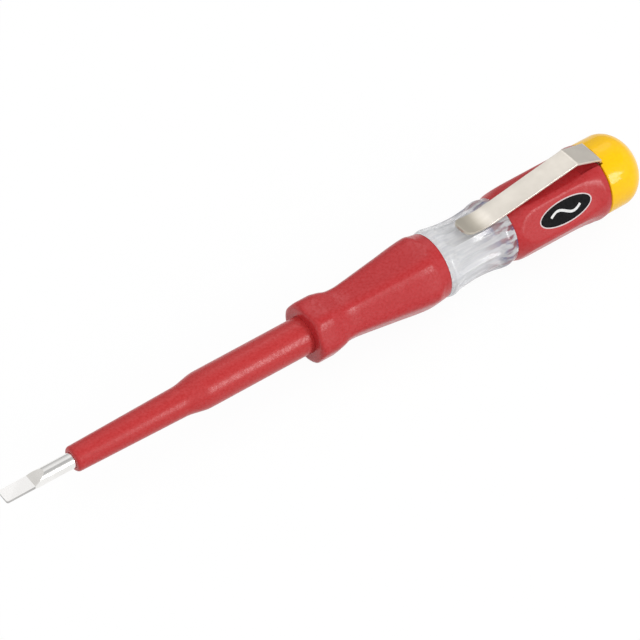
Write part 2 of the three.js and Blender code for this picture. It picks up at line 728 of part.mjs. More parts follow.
const electrodeFront = stemFront - fitClearance - electrodeLength;
const electrodeRear = stemFront - fitClearance;
const leadSpace = electrodeSpacing / 2;
const stemHoles = [1, -1].map((side) => {
  const hole = rod(stemFront - overrun, glassRear + overrun, leadDiameter / 2 + fitClearance, wireSideCount);
  hole.translate(0, side * leadSpace, 0);
  return solid(hole);
});
const stemBody = solid(rod(stemFront, glassRear, lampInside - fitClearance, smallSideCount));
piece('lamp_stem', shape(stemBody.subtract(stemHoles[0]).subtract(stemHoles[1])), materials.glass);

for (const [side, name] of [[1, 'lamp_electrode_left'], [-1, 'lamp_electrode_right']]) {
  const electrode = rod(electrodeFront, electrodeRear, electrodeDiameter / 2, smallSideCount);
  electrode.translate(0, side * leadSpace, 0);
  piece(name, electrode, materials.nickel);
}

const leadFront = electrodeRear + fitClearance;
const straightLead = rod(leadFront, rearCapFront - fitClearance, leadDiameter / 2, wireSideCount);
straightLead.translate(0, leadSpace, 0);
piece('lamp_lead_straight', straightLead, materials.nickel);

// The second lead turns back outside the glass and runs forward to the front contact cap
const returnOffset = lampRadius + fitClearance + leadDiameter / 2;
const frontCapMouth = lampFront + lampFrontCapLength;
const foldRadius = (returnOffset - leadSpace) / 2;
const foldStart = rearCapFront - fitClearance - leadDiameter / 2 - foldRadius;
const leadLine = [new THREE.Vector3(leadFront, -leadSpace, 0)];
for (let i = 0; i <= 2 * curveStepCount; i += 1) {
  const turn = (Math.PI * i) / (2 * curveStepCount);
  leadLine.push(new THREE.Vector3(
    foldStart + foldRadius * Math.sin(turn), foldRadius * (Math.cos(turn) - 1) - leadSpace, 0,
  ));
}
leadLine.push(new THREE.Vector3(frontCapMouth + fitClearance, -returnOffset, 0));

// A line of points as a path for an extrusion, which turns halfway at each point
class PointPath extends THREE.Curve {
  constructor(points) {
    super();
    this.points = points;
  }

  getPointAt(share, target = new THREE.Vector3()) {
    return target.copy(this.points[Math.round(share * (this.points.length - 1))]);
  }

  getTangentAt(share, target = new THREE.Vector3()) {
    const last = this.points.length - 1;
    const index = Math.round(share * last);
    const from = Math.min(index, last - 1);
    const leaving = this.points[from + 1].clone().sub(this.points[from]).normalize();
    const since = Math.max(index, 1);
    const arriving = this.points[since].clone().sub(this.points[since - 1]).normalize();
    return target.copy(arriving).add(leaving).normalize();
  }
}

// A wire of the given thickness along a line of points
function wire(points, diameter, sides) {
  const section = new THREE.Shape();
  for (let i = 0; i < sides; i += 1) {
    const angle = (2 * Math.PI * i) / sides;
    const corner = [(Math.cos(angle) * diameter) / 2, (Math.sin(angle) * diameter) / 2];
    if (i === 0) section.moveTo(...corner);
    else section.lineTo(...corner);
  }
  return new THREE.ExtrudeGeometry(section, {
    steps: points.length - 1, bevelEnabled: false, extrudePath: new PointPath(points),
  });
}

piece('lamp_lead_return', wire(leadLine, leadDiameter, wireSideCount), materials.nickel);
piece('lamp_front_cap', cup(
  lampFront, frontCapMouth, lampFront + lampFrontCapFloor, contactRadius, lampCapInside,
), materials.brass);
piece('lamp_rear_cap', rod(rearCapFront, lampRear, contactRadius, smallSideCount), materials.brass);

// Washer between the lamp and the spring
const washer = solid(rod(washerFront, washerRear, contactRadius, smallSideCount))
  .subtract(solid(rod(washerFront - overrun, washerRear + overrun, washerHoleDiameter / 2, smallSideCount)));
piece('contact_washer', shape(washer), materials.brass);

// Contact spring
const coilRadius = (springOutsideDiameter - springWireDiameter) / 2;
const coilStart = springFront + 2 * springWireDiameter;
const coilEnd = springRear - 2 * springWireDiameter;
const springPoints = [new THREE.Vector3(springFront, coilRadius, 0)];
springPoints.push(new THREE.Vector3(springFront + springWireDiameter, coilRadius, 0));
const coilSteps = springTurnCount * springStepCount;
for (let i = 0; i <= coilSteps; i += 1) {
  const angle = (2 * Math.PI * i) / springStepCount;
  springPoints.push(new THREE.Vector3(
    between(coilStart, coilEnd, i / coilSteps), coilRadius * Math.cos(angle), coilRadius * Math.sin(angle),
  ));
}
springPoints.push(new THREE.Vector3(springRear - springWireDiameter, coilRadius, 0));
springPoints.push(new THREE.Vector3(springRear, coilRadius, 0));

// Least gap between turns, measured between points at least half a turn apart along the wire
let leastGap = Infinity;
for (let i = 0; i < springPoints.length; i += 1) {
  for (let j = i + springStepCount / 2; j < springPoints.length; j += 1) {
    leastGap = Math.min(leastGap, springPoints[i].distanceTo(springPoints[j]) - springWireDiameter);
  }
}
console.log(`contact_spring: least gap to itself ${leastGap.toFixed(2)} mm`);
piece('contact_spring', wire(springPoints, springWireDiameter, springSideCount), materials.steel);

export default tool;
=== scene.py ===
"""Voltage tester screwdriver: a flat blade in a red sheath, a red front grip, a clear fluted window,
a red rear sleeve, a yellow end cap and a sprung steel pocket clip.

The tool lies along +X from the working edge of its blade to the crown of its cap, clip on top (+Z).
Sizes are in millimetres and are turned into metres where the meshes are made.
"""
import math

import bmesh
import bpy
from mathutils import Matrix, Vector


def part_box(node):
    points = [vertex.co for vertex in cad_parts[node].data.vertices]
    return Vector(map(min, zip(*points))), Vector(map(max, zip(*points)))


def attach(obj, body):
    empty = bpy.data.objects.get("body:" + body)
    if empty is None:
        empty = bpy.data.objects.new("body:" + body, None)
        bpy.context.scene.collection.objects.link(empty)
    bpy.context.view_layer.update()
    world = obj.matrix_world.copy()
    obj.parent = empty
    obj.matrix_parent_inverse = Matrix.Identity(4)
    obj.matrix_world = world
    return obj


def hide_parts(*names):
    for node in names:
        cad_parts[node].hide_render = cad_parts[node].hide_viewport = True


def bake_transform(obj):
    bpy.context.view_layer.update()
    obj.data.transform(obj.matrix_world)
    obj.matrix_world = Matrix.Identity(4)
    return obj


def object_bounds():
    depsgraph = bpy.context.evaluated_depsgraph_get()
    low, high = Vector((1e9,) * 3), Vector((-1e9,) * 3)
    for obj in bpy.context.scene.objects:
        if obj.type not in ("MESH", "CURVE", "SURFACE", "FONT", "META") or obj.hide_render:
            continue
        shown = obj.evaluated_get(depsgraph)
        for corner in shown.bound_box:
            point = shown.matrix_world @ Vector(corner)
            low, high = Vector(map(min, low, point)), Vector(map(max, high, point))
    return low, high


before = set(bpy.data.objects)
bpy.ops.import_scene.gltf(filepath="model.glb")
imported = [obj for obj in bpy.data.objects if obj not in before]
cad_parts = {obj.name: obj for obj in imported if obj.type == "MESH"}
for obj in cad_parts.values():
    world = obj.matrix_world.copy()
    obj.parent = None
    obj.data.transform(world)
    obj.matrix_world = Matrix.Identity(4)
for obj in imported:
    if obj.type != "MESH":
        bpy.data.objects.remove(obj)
packed_low, packed_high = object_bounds()
MM = 0.001

# Camera
# It stands in front of and above the tool, nearer to the blade than to the cap, and is rolled so that
# the tool climbs from the lower left corner to the upper right one.
AIM_ALONG = 70.0
CLIP_TURN = math.radians(55.5)
TIP_LEAN = math.radians(24.35)
CLIMB = math.radians(28.4)
CAMERA_DISTANCE = 650.0
FOCAL_LENGTH = 203.7
AIM_RIGHT = -1.64
AIM_UP = 0.12
SENSOR_WIDTH = 36.0
NEAR_END, FAR_END = 10.0, 50000.0

across_view = Vector((0, -math.cos(CLIP_TURN), math.sin(CLIP_TURN)))
above_view = Vector((0, math.sin(CLIP_TURN), math.cos(CLIP_TURN)))
along_tool = Vector((1, 0, 0))
to_camera = across_view * math.cos(TIP_LEAN) - along_tool * math.sin(TIP_LEAN)
tool_in_view = along_tool * math.cos(TIP_LEAN) + across_view * math.sin(TIP_LEAN)
view_right = tool_in_view * math.cos(CLIMB) - above_view * math.sin(CLIMB)
view_up = tool_in_view * math.sin(CLIMB) + above_view * math.cos(CLIMB)
aim = Vector((AIM_ALONG, 0, 0)) + view_right * AIM_RIGHT + view_up * AIM_UP
lens = bpy.data.cameras.new("photo camera")
lens.sensor_width = SENSOR_WIDTH
lens.lens = FOCAL_LENGTH
lens.clip_start = NEAR_END * MM
lens.clip_end = FAR_END * MM
camera = bpy.data.objects.new("photo camera", lens)
facing = Matrix((view_right, view_up, to_camera)).transposed().to_4x4()
camera.matrix_world = Matrix.Translation((aim + to_camera * CAMERA_DISTANCE) * MM) @ facing
bpy.context.scene.collection.objects.link(camera)
bpy.context.scene.camera = camera


# Blade
# Plated steel rod, 3 mm thick. Two flats are ground on its end, with fine lines across them, and slope
# up to the full round; the flats are painted near white as a painted highlight, the slopes grey as
# painted shade, and the narrow edges between them are dull and painted dark as painted shade. Two
# pressed ears near its other end lock it in the handle.
ROD_RADIUS = 1.5
TIP_HALF_THICKNESS = 0.25
HEEL_HALF_THICKNESS = 0.32
HEEL_ALONG = 5.8
SLOPE_END = 8.4
ROD_END_CHAMFER = 0.3
TIP_CORNER = 0.4
CUT_PAST = 1.0
GRINDER_HALF_WIDTH = ROD_RADIUS + CUT_PAST
FLAT_FACING, SIDE_FACING = 0.85, 0.05
SLOPE_ROOM = 0.1
EAR_LENGTH, EAR_SPAN, EAR_THICKNESS = 3.0, 4.4, 1.1
STEEL = (0.92, 0.91, 0.89)
STEEL_SHADE = (0.84, 0.83, 0.81)
# Painted highlight: the flats are coloured near white for the light they catch, not for their steel.
FLAT_PAINTED_HIGHLIGHT = (1.0, 0.985, 0.97)
FLAT_PAINTED_HIGHLIGHT_DEEP = (0.97, 0.955, 0.94)
# Painted shade: the slopes are coloured grey for the shade on them, not for a different steel.
SLOPE_PAINTED_SHADE = (0.82, 0.8, 0.77)
SLOPE_PAINTED_SHADE_DEEP = (0.7, 0.68, 0.65)
# Painted shade: the narrow edges beside the flats are coloured dark for the shade along them; they are
# also rougher.
EDGE_PAINTED_SHADE = (0.56, 0.55, 0.54)
EDGE_PAINTED_SHADE_DEEP = (0.46, 0.45, 0.44)
CREASE_TURN = math.radians(28)


def rounded(corners, steps=5):
    """A line of (along, out, corner radius) points with each corner turned into an arc."""
    line = []
    for i, (along, out, radius) in enumerate(corners):
        here = Vector((along, out))
        if radius == 0 or i in (0, len(corners) - 1):
            line.append(here)
            continue
        back = (Vector(corners[i - 1][:2]) - here).normalized()
        ahead = (Vector(corners[i + 1][:2]) - here).normalized()
        half = math.acos(max(-1.0, min(1.0, back.dot(ahead)))) / 2
        centre = here + (back + ahead).normalized() * (radius / math.sin(half))
        start = here + back * (radius / math.tan(half)) - centre
        end = here + ahead * (radius / math.tan(half)) - centre
        sweep = start.angle_signed(end)
        for step in range(steps + 1):
            line.append(centre + Matrix.Rotation(-sweep * step / steps, 2) @ start)
    return [(p.x, p.y) for p in line]


def body_of_rings(name, rings, ring_shaped=False):
    """A closed body through rings of (x, y, z) points; a ring of one point is a pole on the axis."""
    made = bmesh.new()
    rows = [[made.verts.new(Vector(p) * MM) for p in ring] for ring in rings]
    for near, far in zip(rows, rows[1:] + (rows[:1] if ring_shaped else [])):
        count = max(len(near), len(far))
        for i in range(count):
            j = i + 1
            corners = [near[i % len(near)], near[j % len(near)], far[j % len(far)], far[i % len(far)]]
            made.faces.new(list(dict.fromkeys(corners)))
    if not ring_shaped:
        for end in (rows[0], rows[-1]):
            if len(end) > 2:
                made.faces.new(end)
    return into_piece(name, made)


def into_piece(name, made):
    """Ends a bmesh: outward faces, smooth shading, and crisp edges where the surface really turns."""
    bmesh.ops.remove_doubles(made, verts=made.verts, dist=1e-8)
    bmesh.ops.recalc_face_normals(made, faces=made.faces)
    mesh = bpy.data.meshes.new(name)
    made.to_mesh(mesh)
    made.free()
    piece = bpy.data.objects.new(name, mesh)
    bpy.context.scene.collection.objects.link(piece)
    crease(piece)
    return piece


def crease(piece):
    """Smooth faces, with the edges that turn more than the crease turn left crisp."""
    made = bmesh.new()
    made.from_mesh(piece.data)
    for face in made.faces:
        face.smooth = True
    for edge in made.edges:
        edge.smooth = len(edge.link_faces) == 2 and edge.calc_face_angle(0) < CREASE_TURN
    made.to_mesh(piece.data)
    made.free()


def turned(name, line, sides=192, reach=None):
    """A body turned about the tool's axis; reach(along, radius, angle) may shape its section."""
    closed = line[0][1] > 0
    rings = []
    for along, radius in line:
        if radius <= 0:
            rings.append([(along, 0, 0)])
            continue
        ring = []
        for i in range(sides):
            angle = 2 * math.pi * i / sides
            out = reach(along, radius, angle) if reach else radius
            ring.append((along, -out * math.sin(angle), out * math.cos(angle)))
        rings.append(ring)
    return body_of_rings(name, rings, ring_shaped=closed)


def block(name, low, high):
    """A plain block between two corners, to cut with or to join on."""
    made = bmesh.new()
    bmesh.ops.create_cube(made, size=1.0)
    for vert in made.verts:
        vert.co = Vector([((a + b) / 2 + (b - a) * c) * MM for a, b, c in zip(low, high, vert.co)])
    return into_piece(name, made)


def side_prism(name, line, half_width):
    """A closed (along, up) outline made into a solid across the tool."""
    return body_of_rings(name, [[(x, y, z) for x, z in line] for y in (-half_width, half_width)])


def work(piece, tool, operation):
    """Cuts, joins or intersects a piece with another, which is used up."""
    step = piece.modifiers.new("work", "BOOLEAN")
    step.operation = operation
    step.solver = "EXACT"
    step.object = tool
    shaped = piece.evaluated_get(bpy.context.evaluated_depsgraph_get())
    piece.data, old = bpy.data.meshes.new_from_object(shaped), piece.data
    piece.modifiers.clear()
    piece.data.name = piece.name
    bpy.data.meshes.remove(old)
    bpy.data.objects.remove(tool)
    crease(piece)


def finish_named(name):
    """A new material with its node tree and its main shader."""
    finish = bpy.data.materials.new(name)
    finish.use_nodes = True
    return finish, finish.node_tree, finish.node_tree.nodes["Principled BSDF"]


def grain(tree, per_metre, stretch=(1, 1, 1), detail=3.0, coarse=0.5):
    """Noise in the tool's own space, stretched along its axes."""
    place = tree.nodes.new("ShaderNodeTexCoord")
    scale = tree.nodes.new("ShaderNodeMapping")
    scale.inputs["Scale"].default_value = stretch
    noise = tree.nodes.new("ShaderNodeTexNoise")
    noise.inputs["Scale"].default_value = per_metre
    noise.inputs["Detail"].default_value = detail
    noise.inputs["Roughness"].default_value = coarse
    tree.links.new(place.outputs["Object"], scale.inputs["Vector"])
    tree.links.new(scale.outputs["Vector"], noise.inputs["Vector"])
    return noise.outputs["Fac"]


def spread(tree, source, low, high, start=0.3, end=0.7):
    """Turns a noise value into a range of another value."""
    node = tree.nodes.new("ShaderNodeMapRange")
    node.inputs["From Min"].default_value = start
    node.inputs["From Max"].default_value = end
    node.inputs["To Min"].default_value = low
    node.inputs["To Max"].default_value = high
    tree.links.new(source, node.inputs["Value"])
    return node.outputs["Result"]


def tints(tree, source, first, second):
    """Mixes two colours by a value. Each colour is three numbers, or comes from another node."""
    node = tree.nodes.new("ShaderNodeMix")
    node.data_type = "RGBA"
    for name, colour in (("A", first), ("B", second)):
        if isinstance(colour, tuple):
            node.inputs[name].default_value = (*colour, 1)
        else:
            tree.links.new(colour, node.inputs[name])
    tree.links.new(source, node.inputs["Factor"])
    return node.outputs["Result"]


def relief(tree, shader, source, depth_mm):
    """Fine height on the surface, in millimetres."""
    node = tree.nodes.new("ShaderNodeBump")
    node.inputs["Strength"].default_value = 1.0
    node.inputs["Distance"].default_value = depth_mm * MM
    tree.links.new(source, node.inputs["Height"])
    tree.links.new(node.outputs["Normal"], shader.inputs["Normal"])


def steel_finish(name, light, shade, roughness, stretch, per_metre, depth_mm):
    """Plated or ground steel: fine lines that run one way, and slightly cloudy plating."""
    finish, tree, shader = finish_named(name)
    shader.inputs["Metallic"].default_value = 1.0
    cloud = grain(tree, per_metre=260, detail=4)
    tree.links.new(tints(tree, spread(tree, cloud, 0, 1), light, shade), shader.inputs["Base Color"])
    lines = grain(tree, per_metre, stretch=stretch, detail=5, coarse=0.65)
    tree.links.new(spread(tree, lines, *roughness), shader.inputs["Roughness"])
    relief(tree, shader, lines, depth_mm)
    return finish


blade_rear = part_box("blade")[1].x / MM
blade = turned("steel_blade", rounded([
    (0, 0, 0), (0, ROD_RADIUS, 0), (HEEL_ALONG, ROD_RADIUS, 0), (SLOPE_END, ROD_RADIUS, 0),
    (blade_rear, ROD_RADIUS, ROD_END_CHAMFER), (blade_rear, 0, 0),
]), sides=128)
top_line = [
    (-CUT_PAST, TIP_HALF_THICKNESS), (0, TIP_HALF_THICKNESS), (HEEL_ALONG, HEEL_HALF_THICKNESS),
    (SLOPE_END, ROD_RADIUS), (blade_rear + CUT_PAST, ROD_RADIUS + CUT_PAST / 2),
]
bottom_line = [(x, -z) for x, z in reversed(top_line)]
work(blade, side_prism("grinding", top_line + bottom_line, GRINDER_HALF_WIDTH), "INTERSECT")
tip_plan = side_prism("tip_corners", rounded([
    (blade_rear + CUT_PAST, -GRINDER_HALF_WIDTH, 0), (0, -ROD_RADIUS, TIP_CORNER),
    (0, ROD_RADIUS, TIP_CORNER), (blade_rear + CUT_PAST, GRINDER_HALF_WIDTH, 0),
]), GRINDER_HALF_WIDTH)
tip_plan.data.transform(Matrix.Rotation(math.pi / 2, 4, "X"))
work(blade, tip_plan, "INTERSECT")
ear_middle = (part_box("handle_core")[0].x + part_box("resistor_front_cap")[0].x) / 2 / MM
ears = block(
    "ears", (ear_middle - EAR_LENGTH / 2, -EAR_SPAN / 2, -EAR_THICKNESS / 2),
    (ear_middle + EAR_LENGTH / 2, EAR_SPAN / 2, EAR_THICKNESS / 2))
work(blade, ears, "UNION")
blade.data.materials.append(steel_finish(
    "drawn plated rod", STEEL, STEEL_SHADE, roughness=(0.12, 0.2), stretch=(0.02, 1, 1),
    per_metre=9000, depth_mm=0.0006))
blade.data.materials.append(steel_finish(
    "ground flat, painted highlight", FLAT_PAINTED_HIGHLIGHT, FLAT_PAINTED_HIGHLIGHT_DEEP, roughness=(0.2, 0.3), stretch=(1, 0.03, 0.03),
    per_metre=9000, depth_mm=0.0012))
blade.data.materials.append(steel_finish(
    "ground slope, painted shade", SLOPE_PAINTED_SHADE, SLOPE_PAINTED_SHADE_DEEP, roughness=(0.24, 0.34), stretch=(0.03, 1, 1),
    per_metre=9000, depth_mm=0.0012))
blade.data.materials.append(steel_finish(
    "dull edge, painted shade", EDGE_PAINTED_SHADE, EDGE_PAINTED_SHADE_DEEP, roughness=(0.3, 0.4), stretch=(1, 1, 1),
    per_metre=5000, depth_mm=0.001))
ROD_FINISH, FLAT_PAINTED_HIGHLIGHT_FINISH, SLOPE_PAINTED_SHADE_FINISH, EDGE_PAINTED_SHADE_FINISH = range(4)
# The flats get the painted highlight; the slopes and the narrow edges get painted shade.
for face in blade.data.polygons:
    along = face.center.x / MM
    if along > SLOPE_END + SLOPE_ROOM:
        face.material_index = ROD_FINISH
    elif abs(face.normal.z) > FLAT_FACING and abs(face.normal.y) < SIDE_FACING:
        face.material_index = FLAT_PAINTED_HIGHLIGHT_FINISH if along < HEEL_ALONG else SLOPE_PAINTED_SHADE_FINISH
    elif along < HEEL_ALONG:
        face.material_index = EDGE_PAINTED_SHADE_FINISH
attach(blade, "handle")
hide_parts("blade")


# Insulating sheath
# Red plastic tube moulded on the rod: a slim taper with a rounded mouth, then a smooth step to a
# thicker parallel part, which runs into the front grip. Satin, a little paler than the handle.
SHEATH_MOUTH_RADIUS = 2.425
SHEATH_NECK_RADIUS = 2.875
SHEATH_BODY_RADIUS = 3.6
SHEATH_BORE_RADIUS = 1.52
SHEATH_MOUTH_ROUNDING = 0.6
SHEATH_BORE_ROUNDING = 0.15
TAPER_LENGTH = 22.5
STEP_LENGTH = 5.3
SHEATH_RED = (0.53, 0.042, 0.044)
SHEATH_RED_DEEP = (0.465, 0.02, 0.021)


def eased(start, end, steps):
    """Points of a smooth S between two (along, out) points."""
    line = []
    for i in range(steps + 1):
        share = i / steps
        rise = share * share * (3 - 2 * share)
        line.append((start[0] + (end[0] - start[0]) * share, start[1] + (end[1] - start[1]) * rise))
    return line


def plastic_finish(name, light, deep, roughness, per_metre, depth_mm, shine):
    """Moulded plastic: fine uneven colour and gloss from the grain of its mould."""
    finish, tree, shader = finish_named(name)
    pores = grain(tree, per_metre, detail=3, coarse=0.6)
    depth = spread(tree, pores, 0, 1, start=0.36, end=0.64)
    tree.links.new(tints(tree, depth, light, deep), shader.inputs["Base Color"])
    tree.links.new(spread(tree, pores, *roughness, start=0.36, end=0.64), shader.inputs["Roughness"])
    shader.inputs["Specular IOR Level"].default_value = shine
    relief(tree, shader, pores, depth_mm)
    return finish


sheath_low, sheath_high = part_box("blade_insulation")
sheath_front, sheath_rear = sheath_low.x / MM, sheath_high.x / MM
taper_end = sheath_front + TAPER_LENGTH
sheath_line = rounded([
    (sheath_rear, SHEATH_BORE_RADIUS, 0),
    (sheath_front, SHEATH_BORE_RADIUS, SHEATH_BORE_ROUNDING),
    (sheath_front, SHEATH_MOUTH_RADIUS, SHEATH_MOUTH_ROUNDING),
    (taper_end, SHEATH_NECK_RADIUS, 0),
], steps=7)[:-1]
step_end = taper_end + STEP_LENGTH
sheath_line += eased((taper_end, SHEATH_NECK_RADIUS), (step_end, SHEATH_BODY_RADIUS), steps=16)
sheath_line.append((sheath_rear, SHEATH_BODY_RADIUS))
sheath = turned("insulating_sheath", sheath_line)
sheath.data.materials.append(plastic_finish(
    "satin red plastic", SHEATH_RED, SHEATH_RED_DEEP, roughness=(0.23, 0.36), per_metre=2300,
    depth_mm=0.016, shine=0.32))
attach(sheath, "handle")
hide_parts("blade_insulation")


# Front grip
# Red moulding with a collar, a waist and a flared swell. It is six-sided from its well rounded front
# edge to the swell, behind which the flats end in a round shoulder.
COLLAR_RADIUS = 6.15
COLLAR_ROUNDING = 1.2
WAIST_RADIUS = 5.2125
SWELL_RADIUS = 7.26
FLAT_SHARE = 0.925
GRIP_RIM_RADIUS = 6.41
GRIP_RIM_EDGE = 0.06
GRIP_BORE_RADIUS = 3.62
GRIP_BORE_EDGE = 0.05
SEAT_BORE_RADIUS = 5.5
GRIP_EDGE_SOFTNESS = 0.36
COLLAR_END_SHARE, WAIST_SHARE, SWELL_SHARE = 0.132, 0.292, 0.882
FLARE_LENGTH = 13.0
HANDLE_RED = (0.505, 0.037, 0.042)
HANDLE_RED_DEEP = (0.44, 0.015, 0.017)


def through(stations, steps):
    """A smooth line through (along, out) stations, which follow each other along the tool."""
    last = len(stations) - 1
    slopes = [(stations[min(last, i + 1)][1] - stations[max(0, i - 1)][1])
              / (stations[min(last, i + 1)][0] - stations[max(0, i - 1)][0]) for i in range(last + 1)]
    line = []
    for (x0, y0), (x1, y1), start, end in zip(stations, stations[1:], slopes, slopes[1:]):
        reach = x1 - x0
        for t in (step / steps for step in range(steps)):
            rise = y0 + (y1 - y0) * t * t * (3 - 2 * t)
            lean = reach * t * (1 - t) * (start * (1 - t) - end * t)
            line.append((x0 + reach * t, rise + lean))
    return line + [stations[-1]]


def height_on(line, along):
    """How far out a line of points is at one place along the tool."""
    if along <= line[0][0]:
        return line[0][1]
    for (x0, y0), (x1, y1) in zip(line, line[1:]):
        if along <= x1:
            return y0 + (y1 - y0) * (along - x0) / max(x1 - x0, 1e-9)
    return line[-1][1]


def soft_least(first, second, softness):
    """The smaller of two values, with the change from one to the other rounded off."""
    share = max(0.0, min(1.0, 0.5 + 0.5 * (second - first) / softness))
    return second + (first - second) * share - softness * share * (1 - share)


def six_flats(flat_line, softness):
    """A section with six flats, whose distance from the axis follows a line along the tool."""
    def reach(along, radius, angle):
        off_middle = (angle + math.pi / 6) % (math.pi / 3) - math.pi / 6
        flat = height_on(flat_line, along) / math.cos(off_middle)
        return min(radius, soft_least(radius, flat, softness)) if radius > 0.8 * flat else radius
    return reach


grip_low, grip_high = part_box("front_grip")
grip_front, grip_rear = grip_low.x / MM, grip_high.x / MM
grip_length = grip_rear - grip_front


def grip_at(share):
    """A place along the front grip."""
    return grip_front + grip_length * share


def waist_to(top, share):
    """A radius part of the way from the waist out to a wider place."""
    return WAIST_RADIUS + (top - WAIST_RADIUS) * share


grip_round = through([
    (grip_at(COLLAR_END_SHARE), COLLAR_RADIUS),
    (grip_at(0.19), waist_to(COLLAR_RADIUS, 0.6)),
    (grip_at(0.236), waist_to(COLLAR_RADIUS, 0.155)),
    (grip_at(WAIST_SHARE), WAIST_RADIUS),
    (grip_at(0.354), waist_to(SWELL_RADIUS, 0.05)),
    (grip_at(0.632), waist_to(SWELL_RADIUS, 0.568)),
    (grip_at(SWELL_SHARE), SWELL_RADIUS),
    (grip_at(0.94), GRIP_RIM_RADIUS + (SWELL_RADIUS - GRIP_RIM_RADIUS) * 0.41),
    (grip_rear, GRIP_RIM_RADIUS),
], steps=12)
swell_along = grip_at(SWELL_SHARE)
grip_flats = [(along, radius * FLAT_SHARE) for along, radius in grip_round if along <= swell_along]
flare_start = grip_at(WAIST_SHARE)
grip_line = rounded([
    (grip_rear, SEAT_BORE_RADIUS, 0),
    (flare_start + FLARE_LENGTH, SEAT_BORE_RADIUS, 0),
    (flare_start, GRIP_BORE_RADIUS, 0),
    (grip_front, GRIP_BORE_RADIUS, GRIP_BORE_EDGE),
    (grip_front, COLLAR_RADIUS, COLLAR_ROUNDING),
    (grip_at(COLLAR_END_SHARE), COLLAR_RADIUS, 0),
], steps=8)[:-1]
grip_rim = rounded([
    (*grip_round[-2], 0), (grip_rear, GRIP_RIM_RADIUS, GRIP_RIM_EDGE), (grip_rear, SEAT_BORE_RADIUS, 0),
])
grip_line += grip_round[:-1] + grip_rim[1:-1]
grip_section = six_flats(grip_flats, GRIP_EDGE_SOFTNESS)
front_grip = turned("front_grip_moulding", grip_line, sides=240, reach=grip_section)
handle_finish = plastic_finish(
    "red handle plastic", HANDLE_RED, HANDLE_RED_DEEP, roughness=(0.24, 0.37), per_metre=2200,
    depth_mm=0.02, shine=0.32)
front_grip.data.materials.append(handle_finish)
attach(front_grip, "handle")
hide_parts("front_grip")


# Clear core and window
# One clear moulding runs through the whole handle. Only its waist shows, as a window with a bead at
# each end and fourteen shallow flutes between them. It is bored for the lamp, resistor and spring.
CORE_NECK_RADIUS = 3.6
CORE_SEAT_RADIUS = 5.4
CORE_CAP_SEAT_RADIUS = 5.0
CAP_SEAT_LENGTH = 3.9
STACK_BORE_RADIUS = 2.9
ROD_HOLE_RADIUS = 1.6
WINDOW_WAIST_RADIUS = 6.03
WINDOW_BEAD_RADIUS = 6.72
WINDOW_BEAD_ROUNDING = 0.28
BEAD_FRONT_LEAN, BEAD_REAR_DROP = 0.02, 0.3
SLEEVE_GAP = 0.03
CORE_FLARE_LAG = 0.1
FLUTES = 14
FLUTE_DEPTH = 0.3
CLEAR_PLASTIC = (1.0, 1.0, 1.0)
MILKY_PLASTIC = (0.8, 0.81, 0.85)
# Painted refraction: red and blue tints painted into the rear bead's colour; the plastic gives no light
# of its own.
PAINTED_REFRACTION_LENGTH = 7.5
SLEEVE_RED_PAINTED_REFRACTION = (0.34, 0.035, 0.06)
BLUE_PAINTED_REFRACTION = (0.13, 0.13, 0.36)

core_low, core_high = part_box("handle_core")
core_front, core_rear = core_low.x / MM, core_high.x / MM
window_front, window_rear = grip_rear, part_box("rear_sleeve")[0].x / MM - SLEEVE_GAP


def window_at(share):
    """A place along the window."""
    return window_front + (window_rear - window_front) * share


def window_out(share):
    """A radius between the window's waist and its beads."""
    return WINDOW_WAIST_RADIUS + (WINDOW_BEAD_RADIUS - WINDOW_WAIST_RADIUS) * share


window_round = through([
    (window_front + BEAD_FRONT_LEAN, WINDOW_BEAD_RADIUS - WINDOW_BEAD_ROUNDING),
    (window_at(0.075), WINDOW_BEAD_RADIUS),
    (window_at(0.25), window_out(0.38)),
    (window_at(0.5), WINDOW_WAIST_RADIUS),
    (window_at(0.73), window_out(0.38)),
    (window_at(0.83), window_out(0.84)),
    (window_at(0.9), WINDOW_BEAD_RADIUS),
    (window_at(0.97), WINDOW_BEAD_RADIUS - WINDOW_BEAD_ROUNDING),
], steps=12)
flute_front, flute_rear = window_at(0.11), window_at(0.83)
full_front, full_rear = window_at(0.25), window_at(0.73)


def fluted(along, radius, angle):
    """Fourteen hollows round the window, with rounded ends short of the beads."""
    if radius <= CORE_SEAT_RADIUS or not flute_front <= along <= flute_rear:
        return radius
    off_middle = 2 * ((angle * FLUTES / (2 * math.pi)) % 1) - 1
    runout = max(0.0, (full_front - along) / (full_front - flute_front),
                 (along - full_rear) / (flute_rear - full_rear))
    return radius - FLUTE_DEPTH * max(0.0, 1 - off_middle ** 2 - runout ** 2)


core_flare = flare_start + CORE_FLARE_LAG
cap_seat_front = core_rear - CAP_SEAT_LENGTH
core_line = [
    (core_front, ROD_HOLE_RADIUS), (core_front, CORE_NECK_RADIUS), (core_flare, CORE_NECK_RADIUS),
    (core_flare + FLARE_LENGTH, CORE_SEAT_RADIUS), (window_front, CORE_SEAT_RADIUS), *window_round,
    (window_rear, WINDOW_BEAD_RADIUS - BEAD_REAR_DROP), (window_rear, CORE_SEAT_RADIUS),
    (cap_seat_front, CORE_SEAT_RADIUS), (cap_seat_front, CORE_CAP_SEAT_RADIUS),
    (core_rear, CORE_CAP_SEAT_RADIUS), (core_rear, STACK_BORE_RADIUS),
    (blade_rear, STACK_BORE_RADIUS), (blade_rear, ROD_HOLE_RADIUS),
]


def ramp(tree, low, high, start, end):
    """A value that changes along the tool, from one place in millimetres to another."""
    place = tree.nodes.new("ShaderNodeTexCoord")
    parts = tree.nodes.new("ShaderNodeSeparateXYZ")
    tree.links.new(place.outputs["Object"], parts.inputs["Vector"])
    return spread(tree, parts.outputs["X"], low, high, start * MM, end * MM)


